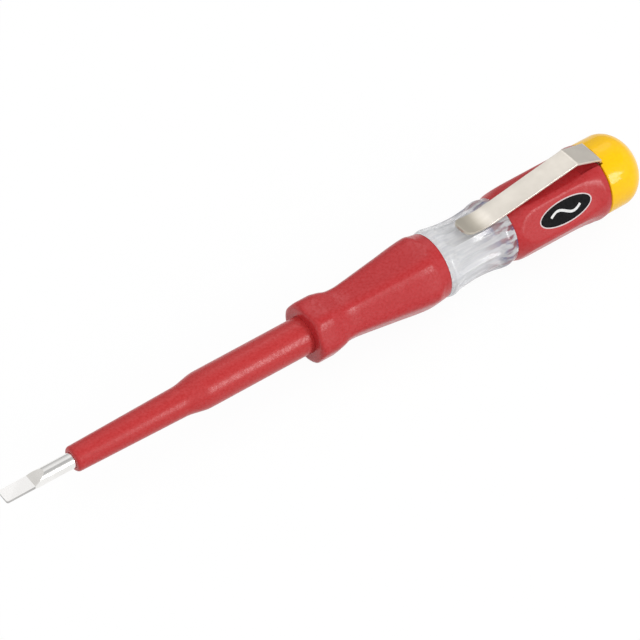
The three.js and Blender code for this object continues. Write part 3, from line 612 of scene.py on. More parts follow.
def combined(tree, operation, first, second):
    """Two values made into one. The second is a number, or comes from another node."""
    node = tree.nodes.new("ShaderNodeMath")
    node.operation = operation
    tree.links.new(first, node.inputs[0])
    if isinstance(second, float):
        node.inputs[1].default_value = second
    else:
        tree.links.new(second, node.inputs[1])
    return node.outputs["Value"]


core = turned("clear_core", core_line, sides=FLUTES * 16, reach=fluted)
clear_finish, tree, shader = finish_named("clear plastic")
shader.inputs["Transmission Weight"].default_value = 0.45
shader.inputs["IOR"].default_value = 1.49
streaks = grain(tree, per_metre=2600, stretch=(0.035, 1, 1), detail=3)
milky = tints(tree, spread(tree, streaks, 0, 1), CLEAR_PLASTIC, MILKY_PLASTIC)
# Painted refraction: the red of the sleeve and a blue tint are painted into the colour of the rear bead,
# in patches between the streaks, in place of light seen through it.
painted_refraction_patches = grain(tree, per_metre=900, stretch=(0.25, 1, 1), detail=2)
painted_refraction_share = combined(tree, "MULTIPLY", ramp(tree, 0, 1, window_rear - PAINTED_REFRACTION_LENGTH, window_rear),
                   spread(tree, painted_refraction_patches, 0, 1, start=0.45, end=0.56))
bluish = spread(tree, grain(tree, per_metre=300, detail=1), 0, 1, start=0.45, end=0.55)
# The mix below is the painted refraction colour.
glow = tints(tree, bluish, SLEEVE_RED_PAINTED_REFRACTION, BLUE_PAINTED_REFRACTION)
tree.links.new(tints(tree, painted_refraction_share, milky, glow), shader.inputs["Base Color"])
tree.links.new(spread(tree, streaks, 0.06, 0.16), shader.inputs["Roughness"])
relief(tree, shader, streaks, depth_mm=0.04)
core.data.materials.append(clear_finish)
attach(core, "handle")
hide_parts("handle_core")


# Resistor
# A lacquered rod between two pressed nickel-plated cups; it passes the harmless test current from
# the blade to the lamp. It lies in the bore under the front grip.
RESISTOR_RADIUS = 2.3
RESISTOR_EDGE = 0.4
CONTACT_RADIUS = 2.7
CUP_EDGE, CUP_LIP_EDGE, CUP_INNER_EDGE = 0.2, 0.08, 0.05
RESISTOR_CUP_FLOOR, RESISTOR_CUP_WALL = 0.65, 0.3
LACQUER = (0.72, 0.6, 0.42)
LACQUER_DEEP = (0.62, 0.5, 0.33)
NICKEL = (0.72, 0.7, 0.66)
NICKEL_SHADE = (0.6, 0.58, 0.54)


def round_rod(name, packed_box, radius, front_edge, rear_edge, sides=64):
    """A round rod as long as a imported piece, with the edges of its ends rounded."""
    front, rear = packed_box[0].x / MM, packed_box[1].x / MM
    return turned(name, rounded([
        (front, 0, 0), (front, radius, front_edge), (rear, radius, rear_edge), (rear, 0, 0),
    ]), sides=sides)


resistor = round_rod(
    "resistor_rod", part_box("resistor_body"), RESISTOR_RADIUS, RESISTOR_EDGE, RESISTOR_EDGE)
resistor.data.materials.append(plastic_finish(
    "resistor lacquer", LACQUER, LACQUER_DEEP, roughness=(0.3, 0.45), per_metre=1500,
    depth_mm=0.01, shine=0.5))
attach(resistor, "handle")
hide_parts("resistor_body")
nickel_finish = steel_finish(
    "nickel plate", NICKEL, NICKEL_SHADE, roughness=(0.22, 0.34), stretch=(1, 1, 1),
    per_metre=1500, depth_mm=0.001)


def pressed_cup(name, node, floor_at, mouth_at, floor, wall, material):
    """A thin round cup, its rim and floor edge rounded by the press, in place of a node."""
    inside_at = floor_at + math.copysign(floor, mouth_at - floor_at)
    cup = turned(name, rounded([
        (floor_at, 0, 0), (floor_at, CONTACT_RADIUS, CUP_EDGE), (mouth_at, CONTACT_RADIUS, CUP_LIP_EDGE),
        (mouth_at, CONTACT_RADIUS - wall, CUP_LIP_EDGE),
        (inside_at, CONTACT_RADIUS - wall, CUP_INNER_EDGE), (inside_at, 0, 0),
    ]), sides=64)
    cup.data.materials.append(material)
    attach(cup, "handle")
    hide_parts(node)


for end, node in (("front", "resistor_front_cap"), ("rear", "resistor_rear_cap")):
    cup_low, cup_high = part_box(node)
    floor_at, mouth_at = cup_low.x / MM, cup_high.x / MM
    if end == "rear":
        floor_at, mouth_at = mouth_at, floor_at
    pressed_cup(f"resistor_cup_{end}", node, floor_at, mouth_at, RESISTOR_CUP_FLOOR, RESISTOR_CUP_WALL,
                nickel_finish)


# Neon lamp
# A small glass bulb with a rounded nose, a pressed glass stem, two rod electrodes and two leads: one
# goes straight back, and the other folds forward outside the glass. Brass contacts close its ends.
LAMP_RADIUS = 2.1
LAMP_WALL = 0.35
STEM_ROOM = 0.1
STEM_FRONT_EDGE, STEM_REAR_EDGE = 0.35, 0.1
LEAD_RADIUS = 0.18
LEAD_SPACE = 0.75
ELECTRODE_RADIUS = 0.35
ELECTRODE_EDGE = 0.12
FOLD_STEPS = 20
LAMP_CUP_FLOOR, LAMP_CUP_WALL = 0.8, 0.5
CONTACT_EDGE = 0.15
WASHER_HOLE_RADIUS = 0.8
WASHER_EDGE = 0.05
LAMP_GLASS = (0.97, 0.95, 0.9)
LAMP_GLASS_MISTY = (0.92, 0.9, 0.85)
BRASS = (0.78, 0.62, 0.34)
BRASS_SHADE = (0.62, 0.46, 0.22)
glass_low, glass_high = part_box("lamp_glass")
nose, glass_rear = glass_low.x / MM, glass_high.x / MM


def dome(start, radius, forward, steps=14):
    """A quarter round from the axis out to a radius, or back when it isn't forward."""
    turns = [math.pi / 2 * i / steps for i in range(steps + 1)]
    line = [(start + radius * (1 - math.cos(t)), radius * math.sin(t)) for t in turns]
    return line if forward else line[::-1]


bulb = turned("lamp_bulb", [
    *dome(nose, LAMP_RADIUS, True), (glass_rear, LAMP_RADIUS), (glass_rear, LAMP_RADIUS - LAMP_WALL),
    *dome(nose + LAMP_WALL, LAMP_RADIUS - LAMP_WALL, False),
], sides=96)
glass_finish, tree, shader = finish_named("lamp glass")
shader.inputs["Transmission Weight"].default_value = 1.0
shader.inputs["IOR"].default_value = 1.51
mist = grain(tree, per_metre=500, detail=3)
misty = tints(tree, spread(tree, mist, 0, 1), LAMP_GLASS, LAMP_GLASS_MISTY)
tree.links.new(misty, shader.inputs["Base Color"])
tree.links.new(spread(tree, mist, 0.03, 0.1), shader.inputs["Roughness"])
bulb.data.materials.append(glass_finish)
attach(bulb, "handle")
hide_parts("lamp_glass")

stem_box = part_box("lamp_stem")
stem_radius = LAMP_RADIUS - LAMP_WALL - STEM_ROOM
stem = round_rod("lamp_glass_stem", stem_box, stem_radius, STEM_FRONT_EDGE, STEM_REAR_EDGE)
stem.data.materials.append(glass_finish)
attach(stem, "handle")
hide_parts("lamp_stem")


def tube_along(name, points, radius, sides=16):
    """A round wire along a line of (x, y, z) points in millimetres."""
    points = [Vector(p) for p in points]
    rings = []
    side = None
    for i, point in enumerate(points):
        ahead = (points[min(i + 1, len(points) - 1)] - points[max(i - 1, 0)]).normalized()
        side = ahead.orthogonal() if side is None else side - ahead * side.dot(ahead)
        side = side.normalized()
        other = ahead.cross(side)
        turns = [2 * math.pi * k / sides for k in range(sides)]
        rings.append([point + (side * math.cos(t) + other * math.sin(t)) * radius for t in turns])
    return body_of_rings(name, rings)


for hand, node in ((1, "lamp_electrode_left"), (-1, "lamp_electrode_right")):
    electrode = round_rod(node.replace("lamp_", "neon_"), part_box(node), ELECTRODE_RADIUS,
                          ELECTRODE_EDGE, ELECTRODE_EDGE, sides=32)
    for vert in electrode.data.vertices:
        vert.co.y += hand * LEAD_SPACE * MM
    electrode.data.materials.append(nickel_finish)
    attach(electrode, "handle")
    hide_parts(node)

lead_low, lead_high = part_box("lamp_lead_straight")
straight_lead = tube_along("neon_lead_straight", [
    (lead_low.x / MM, LEAD_SPACE, 0), (lead_high.x / MM, LEAD_SPACE, 0),
], LEAD_RADIUS)
fold_low, fold_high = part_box("lamp_lead_return")
fold_out = -fold_low.y / MM - LEAD_RADIUS
fold_radius = (fold_out - LEAD_SPACE) / 2
fold_start = fold_high.x / MM - LEAD_RADIUS - fold_radius
fold = [(fold_start + fold_radius * math.sin(t), fold_radius * (math.cos(t) - 1) - LEAD_SPACE, 0)
        for t in (math.pi * i / FOLD_STEPS for i in range(FOLD_STEPS + 1))]
return_lead = tube_along("neon_lead_return", [
    (stem_box[0].x / MM, -LEAD_SPACE, 0), *fold, (fold_low.x / MM, -fold_out, 0),
], LEAD_RADIUS)
for lead, node in ((straight_lead, "lamp_lead_straight"), (return_lead, "lamp_lead_return")):
    lead.data.materials.append(nickel_finish)
    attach(lead, "handle")
    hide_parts(node)

brass_finish = steel_finish(
    "contact brass", BRASS, BRASS_SHADE, roughness=(0.25, 0.4), stretch=(1, 1, 1),
    per_metre=1200, depth_mm=0.001)
cap_low, cap_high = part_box("lamp_front_cap")
pressed_cup("neon_front_contact", "lamp_front_cap", cap_low.x / MM, cap_high.x / MM,
            LAMP_CUP_FLOOR, LAMP_CUP_WALL, brass_finish)
rear_contact = round_rod(
    "neon_rear_contact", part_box("lamp_rear_cap"), CONTACT_RADIUS, CONTACT_EDGE, CONTACT_EDGE)
washer_low, washer_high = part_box("contact_washer")
washer_front, washer_rear = washer_low.x / MM, washer_high.x / MM
washer = turned("spring_washer", [
    (washer_front, WASHER_HOLE_RADIUS), (washer_front, CONTACT_RADIUS - WASHER_EDGE),
    (washer_front + WASHER_EDGE, CONTACT_RADIUS), (washer_rear - WASHER_EDGE, CONTACT_RADIUS),
    (washer_rear, CONTACT_RADIUS - WASHER_EDGE), (washer_rear, WASHER_HOLE_RADIUS),
], sides=64)
for contact, node in ((rear_contact, "lamp_rear_cap"), (washer, "contact_washer")):
    contact.data.materials.append(brass_finish)
    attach(contact, "handle")
    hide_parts(node)


# Contact spring
# Open coil of spring wire between the washer and the foot of the clip; it keeps the lamp and the
# resistor pressed against the blade. Its ends run straight on to what they press.
SPRING_WIRE_RADIUS = 0.225
SPRING_COIL_RADIUS = 2.225
SPRING_TURNS = 9
STEPS_PER_TURN = 24
SPRING_STEEL = (0.7, 0.69, 0.66)
SPRING_STEEL_SHADE = (0.55, 0.54, 0.52)
spring_low, spring_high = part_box("contact_spring")
spring_front, spring_rear = spring_low.x / MM, spring_high.x / MM
coil_front = spring_front + 4 * SPRING_WIRE_RADIUS
coil_rear = spring_rear - 4 * SPRING_WIRE_RADIUS
coil = []
for i in range(SPRING_TURNS * STEPS_PER_TURN + 1):
    turn = 2 * math.pi * i / STEPS_PER_TURN
    along = coil_front + (coil_rear - coil_front) * i / (SPRING_TURNS * STEPS_PER_TURN)
    coil.append((along, SPRING_COIL_RADIUS * math.cos(turn), SPRING_COIL_RADIUS * math.sin(turn)))
spring = tube_along("contact_coil", [
    (spring_front, SPRING_COIL_RADIUS, 0), (spring_front + SPRING_WIRE_RADIUS, SPRING_COIL_RADIUS, 0),
    *coil,
    (spring_rear - SPRING_WIRE_RADIUS, SPRING_COIL_RADIUS, 0), (spring_rear, SPRING_COIL_RADIUS, 0),
], SPRING_WIRE_RADIUS, sides=12)
spring.data.materials.append(steel_finish(
    "spring wire", SPRING_STEEL, SPRING_STEEL_SHADE, roughness=(0.2, 0.32), stretch=(1, 1, 1),
    per_metre=2500, depth_mm=0.001))
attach(spring, "handle")
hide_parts("contact_spring")


# Rear sleeve
# Red barrel moulding pushed over the core, with six flats that run out in front of a plain ring, and a
# shallow seat at the back for the leg of the clip. Same plastic as the front grip.
BARREL_RADIUS = 7.5
SLEEVE_FRONT_RADIUS = 6.4
SLEEVE_REAR_RADIUS = 7.35
SLEEVE_BORE_EDGE, SLEEVE_FRONT_EDGE, SLEEVE_REAR_EDGE = 0.1, 0.2, 0.15
SLEEVE_EDGE_SOFTNESS = 0.14
SLEEVE_FLAT = 6.78
SLEEVE_BORE_RADIUS = 5.5
SKIRT_BORE_RADIUS = 6.2
SKIRT_ROOM = 4.0
CLIP_PLATE_GAP = 0.1
FLAT_INSET, FLAT_RUNOUT, FLAT_STEPS = 6.0, 4.8, 12
CLIP_SEAT_LENGTH, CLIP_SEAT_HALF_WIDTH, CLIP_SEAT_DEPTH = 4.4, 2.85, 0.2
sleeve_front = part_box("rear_sleeve")[0].x / MM
sleeve_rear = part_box("clip_plate")[0].x / MM - CLIP_PLATE_GAP


def sleeve_station(share, swelling):
    """A place along the sleeve, with its radius between the front rim's and the barrel's."""
    return (sleeve_front + (sleeve_rear - sleeve_front) * share,
            SLEEVE_FRONT_RADIUS + (BARREL_RADIUS - SLEEVE_FRONT_RADIUS) * swelling)


sleeve_round = through([
    (sleeve_front, SLEEVE_FRONT_RADIUS), sleeve_station(0.05, 0.31), sleeve_station(0.14, 0.8),
    sleeve_station(0.25, 1), sleeve_station(0.935, 1), (sleeve_rear, SLEEVE_REAR_RADIUS),
], steps=12)
# A flat lifts off at the back in a curve, until the barrel is round.
sleeve_flats = [(sleeve_rear - FLAT_INSET + FLAT_RUNOUT * share,
                 SLEEVE_FLAT + (BARREL_RADIUS - SLEEVE_FLAT) * share ** 2)
                for share in (i / FLAT_STEPS for i in range(FLAT_STEPS + 1))]
sleeve_flats.append((sleeve_rear, BARREL_RADIUS + CUT_PAST))
skirt_room_front = sleeve_rear - SKIRT_ROOM
sleeve_line = rounded([
    (sleeve_rear, SKIRT_BORE_RADIUS, 0), (skirt_room_front, SKIRT_BORE_RADIUS, 0),
    (skirt_room_front, SLEEVE_BORE_RADIUS, 0), (sleeve_front, SLEEVE_BORE_RADIUS, SLEEVE_BORE_EDGE),
    (sleeve_front, SLEEVE_FRONT_RADIUS, SLEEVE_FRONT_EDGE), (*sleeve_round[3], 0),
])[:-1]
sleeve_rim = rounded([
    (*sleeve_round[-4], 0), (sleeve_rear, SLEEVE_REAR_RADIUS, SLEEVE_REAR_EDGE),
    (sleeve_rear, SKIRT_BORE_RADIUS, 0),
])
sleeve_line += sleeve_round[3:-3] + sleeve_rim[1:-1]
sleeve_section = six_flats(sleeve_flats, SLEEVE_EDGE_SOFTNESS)
sleeve = turned("rear_sleeve_moulding", sleeve_line, sides=240, reach=sleeve_section)
clip_seat = block(
    "clip_seat", (sleeve_rear - CLIP_SEAT_LENGTH, -CLIP_SEAT_HALF_WIDTH, SLEEVE_FLAT - CLIP_SEAT_DEPTH),
    (sleeve_rear + CUT_PAST, CLIP_SEAT_HALF_WIDTH, BARREL_RADIUS + CUT_PAST))
work(sleeve, clip_seat, "DIFFERENCE")
sleeve.data.materials.append(handle_finish)
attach(sleeve, "handle")
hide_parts("rear_sleeve")


# Print on the sleeve
# Ink on the flat beside the clip: a dark oval field with a thin light outline and a plain wave, the
# sign for alternating current. Pad printed: it follows the flat and is a few hundredths thick.
PRINT_ALONG = 119.75
FIELD_HALF_LENGTH, FIELD_HALF_HEIGHT = 5.9, 2.3
OUTLINE_WIDTH = 0.24
INK_FOOT, INK_HEIGHT = -0.05, 0.02
TOP_INK_HEIGHT = 0.03
WAVE_HALF_LENGTH, WAVE_HEIGHT, STROKE = 3.4, 0.7, 0.5
FIELD_STEPS, WAVE_STEPS = 50, 36
LABEL_TURN = math.radians(60)
FIELD_INK = (0.008, 0.008, 0.009)
FIELD_INK_DEEP = (0.004, 0.004, 0.005)
OUTLINE_INK = (0.72, 0.62, 0.62)
OUTLINE_INK_DEEP = (0.62, 0.52, 0.52)
WAVE_INK = (0.8, 0.8, 0.8)
WAVE_INK_DEEP = (0.7, 0.7, 0.7)
label_normal = Vector((0, -math.sin(LABEL_TURN), math.cos(LABEL_TURN)))
label_up = Vector((0, math.cos(LABEL_TURN), math.sin(LABEL_TURN)))


def on_label(along, up, height):
    """A point over the flat that carries the print."""
    out = height_on(sleeve_flats, PRINT_ALONG + along) + height
    return tuple(Vector((PRINT_ALONG + along, 0, 0)) + label_normal * out + label_up * up)


def oval(grow, steps=96):
    """The outline of the field, made larger or smaller by a width."""
    turns = [2 * math.pi * i / steps for i in range(steps)]
    half_length, half_height = FIELD_HALF_LENGTH + grow, FIELD_HALF_HEIGHT + grow
    return [(half_length * math.cos(t), half_height * math.sin(t)) for t in turns]


def inked(name, first, second, closed, height, colour, deep):
    """A print between two lines of as many (along, up) points."""
    rings = [[on_label(*a, INK_FOOT), on_label(*a, height), on_label(*b, height), on_label(*b, INK_FOOT)]
             for a, b in zip(first, second)]
    ink = body_of_rings(name, rings, ring_shaped=closed)
    ink.data.materials.append(plastic_finish(
        name.replace("_", " ") + " ink", colour, deep, roughness=(0.5, 0.65), per_metre=1800,
        depth_mm=0.002, shine=0.08))
    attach(ink, "handle")


upper = [(FIELD_HALF_LENGTH * math.cos(t), FIELD_HALF_HEIGHT * math.sin(t))
         for t in (math.pi * i / FIELD_STEPS for i in range(1, FIELD_STEPS))]
inked("print_field", upper, [(x, -y) for x, y in upper], False, INK_HEIGHT, FIELD_INK, FIELD_INK_DEEP)
inked("print_outline", oval(OUTLINE_WIDTH / 2), oval(-OUTLINE_WIDTH / 2), True, TOP_INK_HEIGHT,
      OUTLINE_INK, OUTLINE_INK_DEEP)
wave = [(WAVE_HALF_LENGTH * share, WAVE_HEIGHT * math.sin(-math.pi * share))
        for share in (i / WAVE_STEPS - 1 for i in range(2 * WAVE_STEPS + 1))]
wave_edges = [[], []]
for i, (x, y) in enumerate(wave):
    (xa, ya), (xb, yb) = wave[max(0, i - 1)], wave[min(len(wave) - 1, i + 1)]
    run = Vector((xb - xa, yb - ya)).normalized() * STROKE / 2
    wave_edges[0].append((x - run.y, y + run.x))
    wave_edges[1].append((x + run.y, y - run.x))
inked("print_wave", *wave_edges, False, TOP_INK_HEIGHT, WAVE_INK, WAVE_INK_DEEP)


# Pocket clip
# One strip of spring steel: a foot clamped behind the core, a leg that climbs out of the cap joint, a
# bend, and a strap that comes down to the window and ends in a turned-up lip with rounded corners.
SHEET = 0.5
SHEET_EDGE = 0.09
STRAP_WIDTH, LIP_WIDTH = 4.65, 4.3
LEG_WIDTH = 5.3
ROOT_HEIGHT = 6.98
TAB_TOP = 6.68
BEND_ALONG, BEND_HEIGHT = 124.6, 9.73
CONTACT_ALONG, CONTACT_HEIGHT = 105.5, 7.22
ROOT_RADIUS, BEND_RADIUS = 0.35, 0.9
LIP_LENGTH, LIP_RADIUS = 7.7, 15.0
LIP_CORNER = 1.7
LIP_END_THINNING = 0.06
LIP_STEPS, CORNER_STEPS = 16, 12
RING_GAP = 0.35
SKEW = math.radians(2.5)
FOOT_RADIUS = 4.8
FOOT_TAB_LAP = 0.05
FOOT_STEPS = 60
CLIP_STEEL = (0.78, 0.73, 0.66)
CLIP_STEEL_SHADE = (0.68, 0.635, 0.57)
# Painted shade: the lip's darker colour stands in for the shade and dark reflection on the bent lip.
LIP_PAINTED_SHADE = (0.5, 0.46, 0.39)
LIP_PAINTED_SHADE_START, LIP_PAINTED_SHADE_END = 101.5, 104.5
foot_low, foot_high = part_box("clip_plate")
root_along = (foot_low.x + foot_high.x) / 2 / MM
fall = math.atan2(BEND_HEIGHT - CONTACT_HEIGHT, BEND_ALONG - CONTACT_ALONG)
sheet_line = rounded([
    (root_along, TAB_TOP, 0), (root_along, ROOT_HEIGHT + ROOT_RADIUS + SHEET / 2, ROOT_RADIUS),
    (BEND_ALONG, BEND_HEIGHT, BEND_RADIUS), (CONTACT_ALONG, CONTACT_HEIGHT, 0),
], steps=10)
for i in range(1, LIP_STEPS + 1):
    turn = fall - LIP_LENGTH / LIP_RADIUS * i / LIP_STEPS
    sheet_line.append((CONTACT_ALONG - LIP_RADIUS * (math.sin(fall) - math.sin(turn)),
                       CONTACT_HEIGHT - LIP_RADIUS * (math.cos(turn) - math.cos(fall))))


def evenly(line, gap):
    """The same line with more points, no further apart than a gap."""
    dense = [line[0]]
    for (x0, y0), (x1, y1) in zip(line, line[1:]):
        count = max(1, math.ceil(math.hypot(x1 - x0, y1 - y0) / gap))
        dense += [(x0 + (x1 - x0) * k / count, y0 + (y1 - y0) * k / count) for k in range(1, count + 1)]
    return dense


def strip_half_width(along, to_end):
    """Half the width of the strip: wide leg, slightly tapered strap, rounded corners at the lip."""
    up_leg = max(0.0, min(1.0, (along - BEND_ALONG) / (root_along - BEND_ALONG)))
    to_lip = max(0.0, min(1.0, (BEND_ALONG - along) / (BEND_ALONG - CONTACT_ALONG + LIP_LENGTH)))
    half = (STRAP_WIDTH + (LEG_WIDTH - STRAP_WIDTH) * up_leg + (LIP_WIDTH - STRAP_WIDTH) * to_lip) / 2
    if to_end < LIP_CORNER:
        half -= LIP_CORNER - math.sqrt(LIP_CORNER ** 2 - (LIP_CORNER - to_end) ** 2)
    return half


def strip_section(half_width, half_sheet, steps=4):
    """Section of the sheet, (across, out) points, with its four edges slightly rounded."""
    section = []
    for corner, (side, up) in enumerate(((1, 1), (-1, 1), (-1, -1), (1, -1))):
        for i in range(steps + 1):
            turn = math.pi / 2 * (corner + i / steps)
            section.append((side * (half_width - SHEET_EDGE) + SHEET_EDGE * math.cos(turn),
                            up * (half_sheet - SHEET_EDGE) + SHEET_EDGE * math.sin(turn)))
    return section


sheet_line = evenly(sheet_line, RING_GAP)
lengths = [0.0]
for (x0, y0), (x1, y1) in zip(sheet_line, sheet_line[1:]):
    lengths.append(lengths[-1] + math.hypot(x1 - x0, y1 - y0))
lip_end = lengths[-1]
stations = [length for length in lengths if length < lip_end - LIP_CORNER]
for i in range(CORNER_STEPS + 1):
    stations.append(lip_end - LIP_CORNER * (1 - math.sin(math.pi / 2 * i / CORNER_STEPS)))
clip_rings = []
for station in stations:
    k = max(1, next(i for i, length in enumerate(lengths) if length >= station - 1e-9))
    share = (station - lengths[k - 1]) / (lengths[k] - lengths[k - 1])
    (x0, z0), (x1, z1) = sheet_line[k - 1], sheet_line[k]
    x, z = x0 + (x1 - x0) * share, z0 + (z1 - z0) * share
    (xa, za), (xb, zb) = sheet_line[max(0, k - 2)], sheet_line[min(len(sheet_line) - 1, k + 1)]
    run = Vector((xb - xa, zb - za)).normalized()
    out_x, out_z = run.y, -run.x
    half_sheet = SHEET / 2 - (LIP_END_THINNING if station == lip_end else 0)
    half_width = strip_half_width(x, lip_end - station) if z >= ROOT_HEIGHT else STRAP_WIDTH / 2
    ring = []
    for sideways, outward in strip_section(half_width, half_sheet):
        from_root = x + out_x * outward - root_along
        swing, beyond = min(0.0, from_root), max(0.0, from_root)
        ring.append((root_along + beyond + swing * math.cos(SKEW) - sideways * math.sin(SKEW),
                     sideways * math.cos(SKEW) + swing * math.sin(SKEW), z + out_z * outward))
    clip_rings.append(ring)
clip = body_of_rings("pocket_clip", clip_rings)
clip_finish = steel_finish(
    "clip steel", CLIP_STEEL, CLIP_STEEL_SHADE, roughness=(0.3, 0.42), stretch=(0.04, 1, 1),
    per_metre=5200, depth_mm=0.0015)
# Towards the lip the sheet is painted darker: painted shade for the bent lip, which faces away from the
# light.
tree = clip_finish.node_tree
base_colour = tree.nodes["Principled BSDF"].inputs["Base Color"]
lip_painted_shade = ramp(tree, 1, 0, LIP_PAINTED_SHADE_START, LIP_PAINTED_SHADE_END)
tree.links.new(tints(tree, lip_painted_shade, base_colour.links[0].from_socket, LIP_PAINTED_SHADE), base_colour)
clip.data.materials.append(clip_finish)
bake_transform(clip)
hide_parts("clip_arm")

tab_half = STRAP_WIDTH / 2
tab_turn = math.asin(tab_half / FOOT_RADIUS)
foot_outline = [(tab_half, TAB_TOP + FOOT_TAB_LAP), (-tab_half, TAB_TOP + FOOT_TAB_LAP)]
for i in range(FOOT_STEPS + 1):
    turn = math.pi / 2 + tab_turn + 2 * (math.pi - tab_turn) * i / FOOT_STEPS
    foot_outline.append((FOOT_RADIUS * math.cos(turn), FOOT_RADIUS * math.sin(turn)))
clip_foot = body_of_rings("clip_foot", [
    [(face.x / MM, y, z) for y, z in foot_outline] for face in (foot_low, foot_high)
])
clip_foot.data.materials.append(clip_finish)
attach(clip_foot, "handle")
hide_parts("clip_plate")


# End cap
# Yellow domed plug. Its skirt is pressed between the core and the sleeve, its rim is just clear of the
# sleeve, and a slot in it lets the clip out.
CAP_RADIUS = 7.25
CAP_SKIRT_INNER, CAP_SKIRT_OUTER = 5.1, 6.1
CAP_FRONT = 130.2
CAP_FLOOR = 130.6
CAP_EDGE = 0.3
CAP_INNER_EDGE, SKIRT_OUTER_EDGE = 0.1, 0.2
CORING_RADIUS, CORING_DEPTH, CORING_EDGE = 3.4, 4.0, 0.3
SLOT_BOTTOM = 3.9
SLOT_PAST_FLOOR = 0.2
DOME_LENGTH = 5.4
DOME_STEPS = 32
CAP_YELLOW = (0.99, 0.57, 0.001)
CAP_YELLOW_DEEP = (0.95, 0.53, 0.001)
end_low, end_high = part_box("end_cap")
skirt_front, crown = end_low.x / MM, end_high.x / MM
dome_start = crown - DOME_LENGTH
cap_line = rounded([
    (CAP_FLOOR + CORING_DEPTH, 0, 0), (CAP_FLOOR + CORING_DEPTH, CORING_RADIUS, CORING_EDGE),
    (CAP_FLOOR, CORING_RADIUS, CAP_INNER_EDGE), (CAP_FLOOR, CAP_SKIRT_INNER, 0),
    (skirt_front, CAP_SKIRT_INNER, CAP_INNER_EDGE), (skirt_front, CAP_SKIRT_OUTER, SKIRT_OUTER_EDGE),
    (CAP_FRONT, CAP_SKIRT_OUTER, 0), (CAP_FRONT, CAP_RADIUS, CAP_EDGE), (dome_start, CAP_RADIUS, 0),
], steps=6)[:-1]
for i in range(DOME_STEPS):
    turn = math.pi / 2 * i / DOME_STEPS
    cap_line.append((dome_start + DOME_LENGTH * math.sin(turn), CAP_RADIUS * math.cos(turn)))
cap_line.append((crown, 0))
cap = turned("yellow_end_cap", cap_line)
clip_slot = block(
    "clip_slot", (skirt_front - CUT_PAST, -CLIP_SEAT_HALF_WIDTH, SLOT_BOTTOM),
    (CAP_FLOOR + SLOT_PAST_FLOOR, CLIP_SEAT_HALF_WIDTH, CAP_RADIUS + CUT_PAST))
work(cap, clip_slot, "DIFFERENCE")
cap.data.materials.append(plastic_finish(
    "yellow cap plastic", CAP_YELLOW, CAP_YELLOW_DEEP, roughness=(0.07, 0.11), per_metre=1500,
    depth_mm=0.001, shine=0.25))
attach(cap, "handle")
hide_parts("end_cap")


# Floor and light
# A plain grey table, which is seen as white with a faint shadow, two soft lamps in front and a weak
# one behind, and a surround that is brightest in front and above. A dimmer gap in it gives the rod of
# the blade its dark band.
FLOOR_GAP, FLOOR_WIDTH = 0.1, 6000.0
FLOOR_GREY = (0.42, 0.42, 0.42)
FLOOR_GREY_DEEP = (0.4, 0.4, 0.4)
FLOOR_BRIGHTNESS, FLOOR_WHITE_SHARE = 1.08, 0.88
TOOL_MIDDLE = 70.0
LAMP_DISTANCE = 900.0
BRIGHT_SIDE = (-0.2, -0.5, 0.84)
SURROUND_LOW, SURROUND_HIGH = 0.42, 1.07
GAP_SIDE = (0.41, -0.24, 0.88)
GAP_START, GAP_FULL, GAP_STRENGTH = 0.9, 0.975, 0.5
floor_height = packed_low.z - FLOOR_GAP * MM
bpy.ops.mesh.primitive_plane_add(size=FLOOR_WIDTH * MM, location=(TOOL_MIDDLE * MM, 0, floor_height))
floor = bpy.context.object
floor.name = "pale_table"
floor_finish, tree, shader = finish_named("pale table")
shader.inputs["Roughness"].default_value = 0.9
shader.inputs["Specular IOR Level"].default_value = 0.1
speckle = spread(tree, grain(tree, per_metre=90, detail=3), 0, 1)
tree.links.new(tints(tree, speckle, FLOOR_GREY, FLOOR_GREY_DEEP), shader.inputs["Base Color"])
glow = tree.nodes.new("ShaderNodeEmission")
glow.inputs["Strength"].default_value = FLOOR_BRIGHTNESS
rays = tree.nodes.new("ShaderNodeLightPath")
seen = rays.outputs["Is Camera Ray"]
for ray in ("Is Glossy Ray", "Is Transmission Ray"):
    seen = combined(tree, "MAXIMUM", seen, rays.outputs[ray])
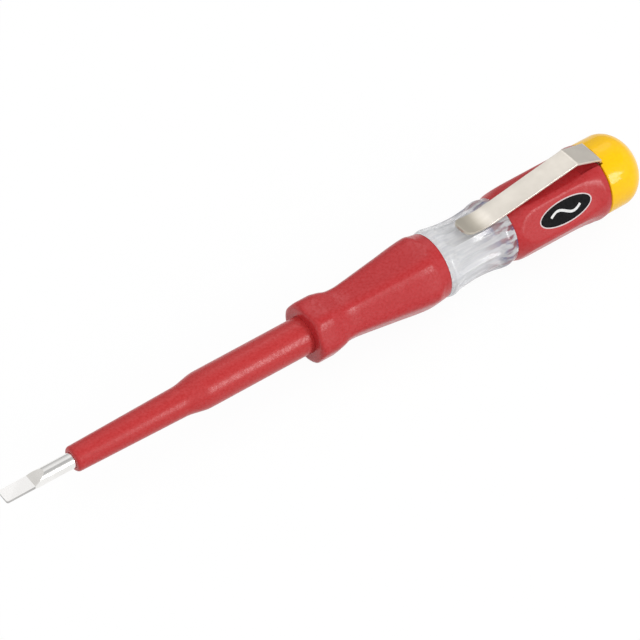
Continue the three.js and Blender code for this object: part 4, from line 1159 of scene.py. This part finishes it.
both = tree.nodes.new("ShaderNodeMixShader")
tree.links.new(combined(tree, "MULTIPLY", seen, FLOOR_WHITE_SHARE), both.inputs["Fac"])
tree.links.new(shader.outputs["BSDF"], both.inputs[1])
tree.links.new(glow.outputs["Emission"], both.inputs[2])
tree.links.new(both.outputs["Shader"], tree.nodes["Material Output"].inputs["Surface"])
floor.data.materials.append(floor_finish)


def soft_lamp(name, direction, width, power):
    """A square lamp that shines on the tool from a direction, its power in watts."""
    light = bpy.data.lights.new(name, "AREA")
    light.shape = "SQUARE"
    light.size = width * MM
    light.energy = power
    lamp = bpy.data.objects.new(name, light)
    towards = Vector(direction).normalized()
    lamp.location = (Vector((TOOL_MIDDLE, 0, 0)) + towards * LAMP_DISTANCE) * MM
    lamp.rotation_mode = "QUATERNION"
    lamp.rotation_quaternion = towards.to_track_quat("Z", "Y")
    bpy.context.scene.collection.objects.link(lamp)


soft_lamp("back lamp", (0.5, 0.5, 0.7), width=300, power=0.32)
soft_lamp("front lamp", (0.41, -0.77, 0.49), width=220, power=1.5)
soft_lamp("low front lamp", (0.41, -0.86, 0.28), width=200, power=1.0)


def facing_side(tree, side):
    """How closely a direction in the surround agrees with one side."""
    towards = tree.nodes.new("ShaderNodeTexCoord")
    node = tree.nodes.new("ShaderNodeVectorMath")
    node.operation = "DOT_PRODUCT"
    node.inputs[1].default_value = side
    tree.links.new(towards.outputs["Generated"], node.inputs[0])
    return node.outputs["Value"]


surround = bpy.data.worlds.new("pale surround")
surround.use_nodes = True
bpy.context.scene.world = surround
tree = surround.node_tree
sky = tree.nodes["Background"]
sky.inputs["Color"].default_value = (1, 1, 1, 1)
open_sky = spread(tree, facing_side(tree, BRIGHT_SIDE), SURROUND_LOW, SURROUND_HIGH, start=-0.6, end=0.8)
gap = spread(tree, facing_side(tree, GAP_SIDE), 1, GAP_STRENGTH, GAP_START, GAP_FULL)
tree.links.new(combined(tree, "MULTIPLY", open_sky, gap), sky.inputs["Strength"])

bpy.context.scene.view_settings.view_transform = "Standard"
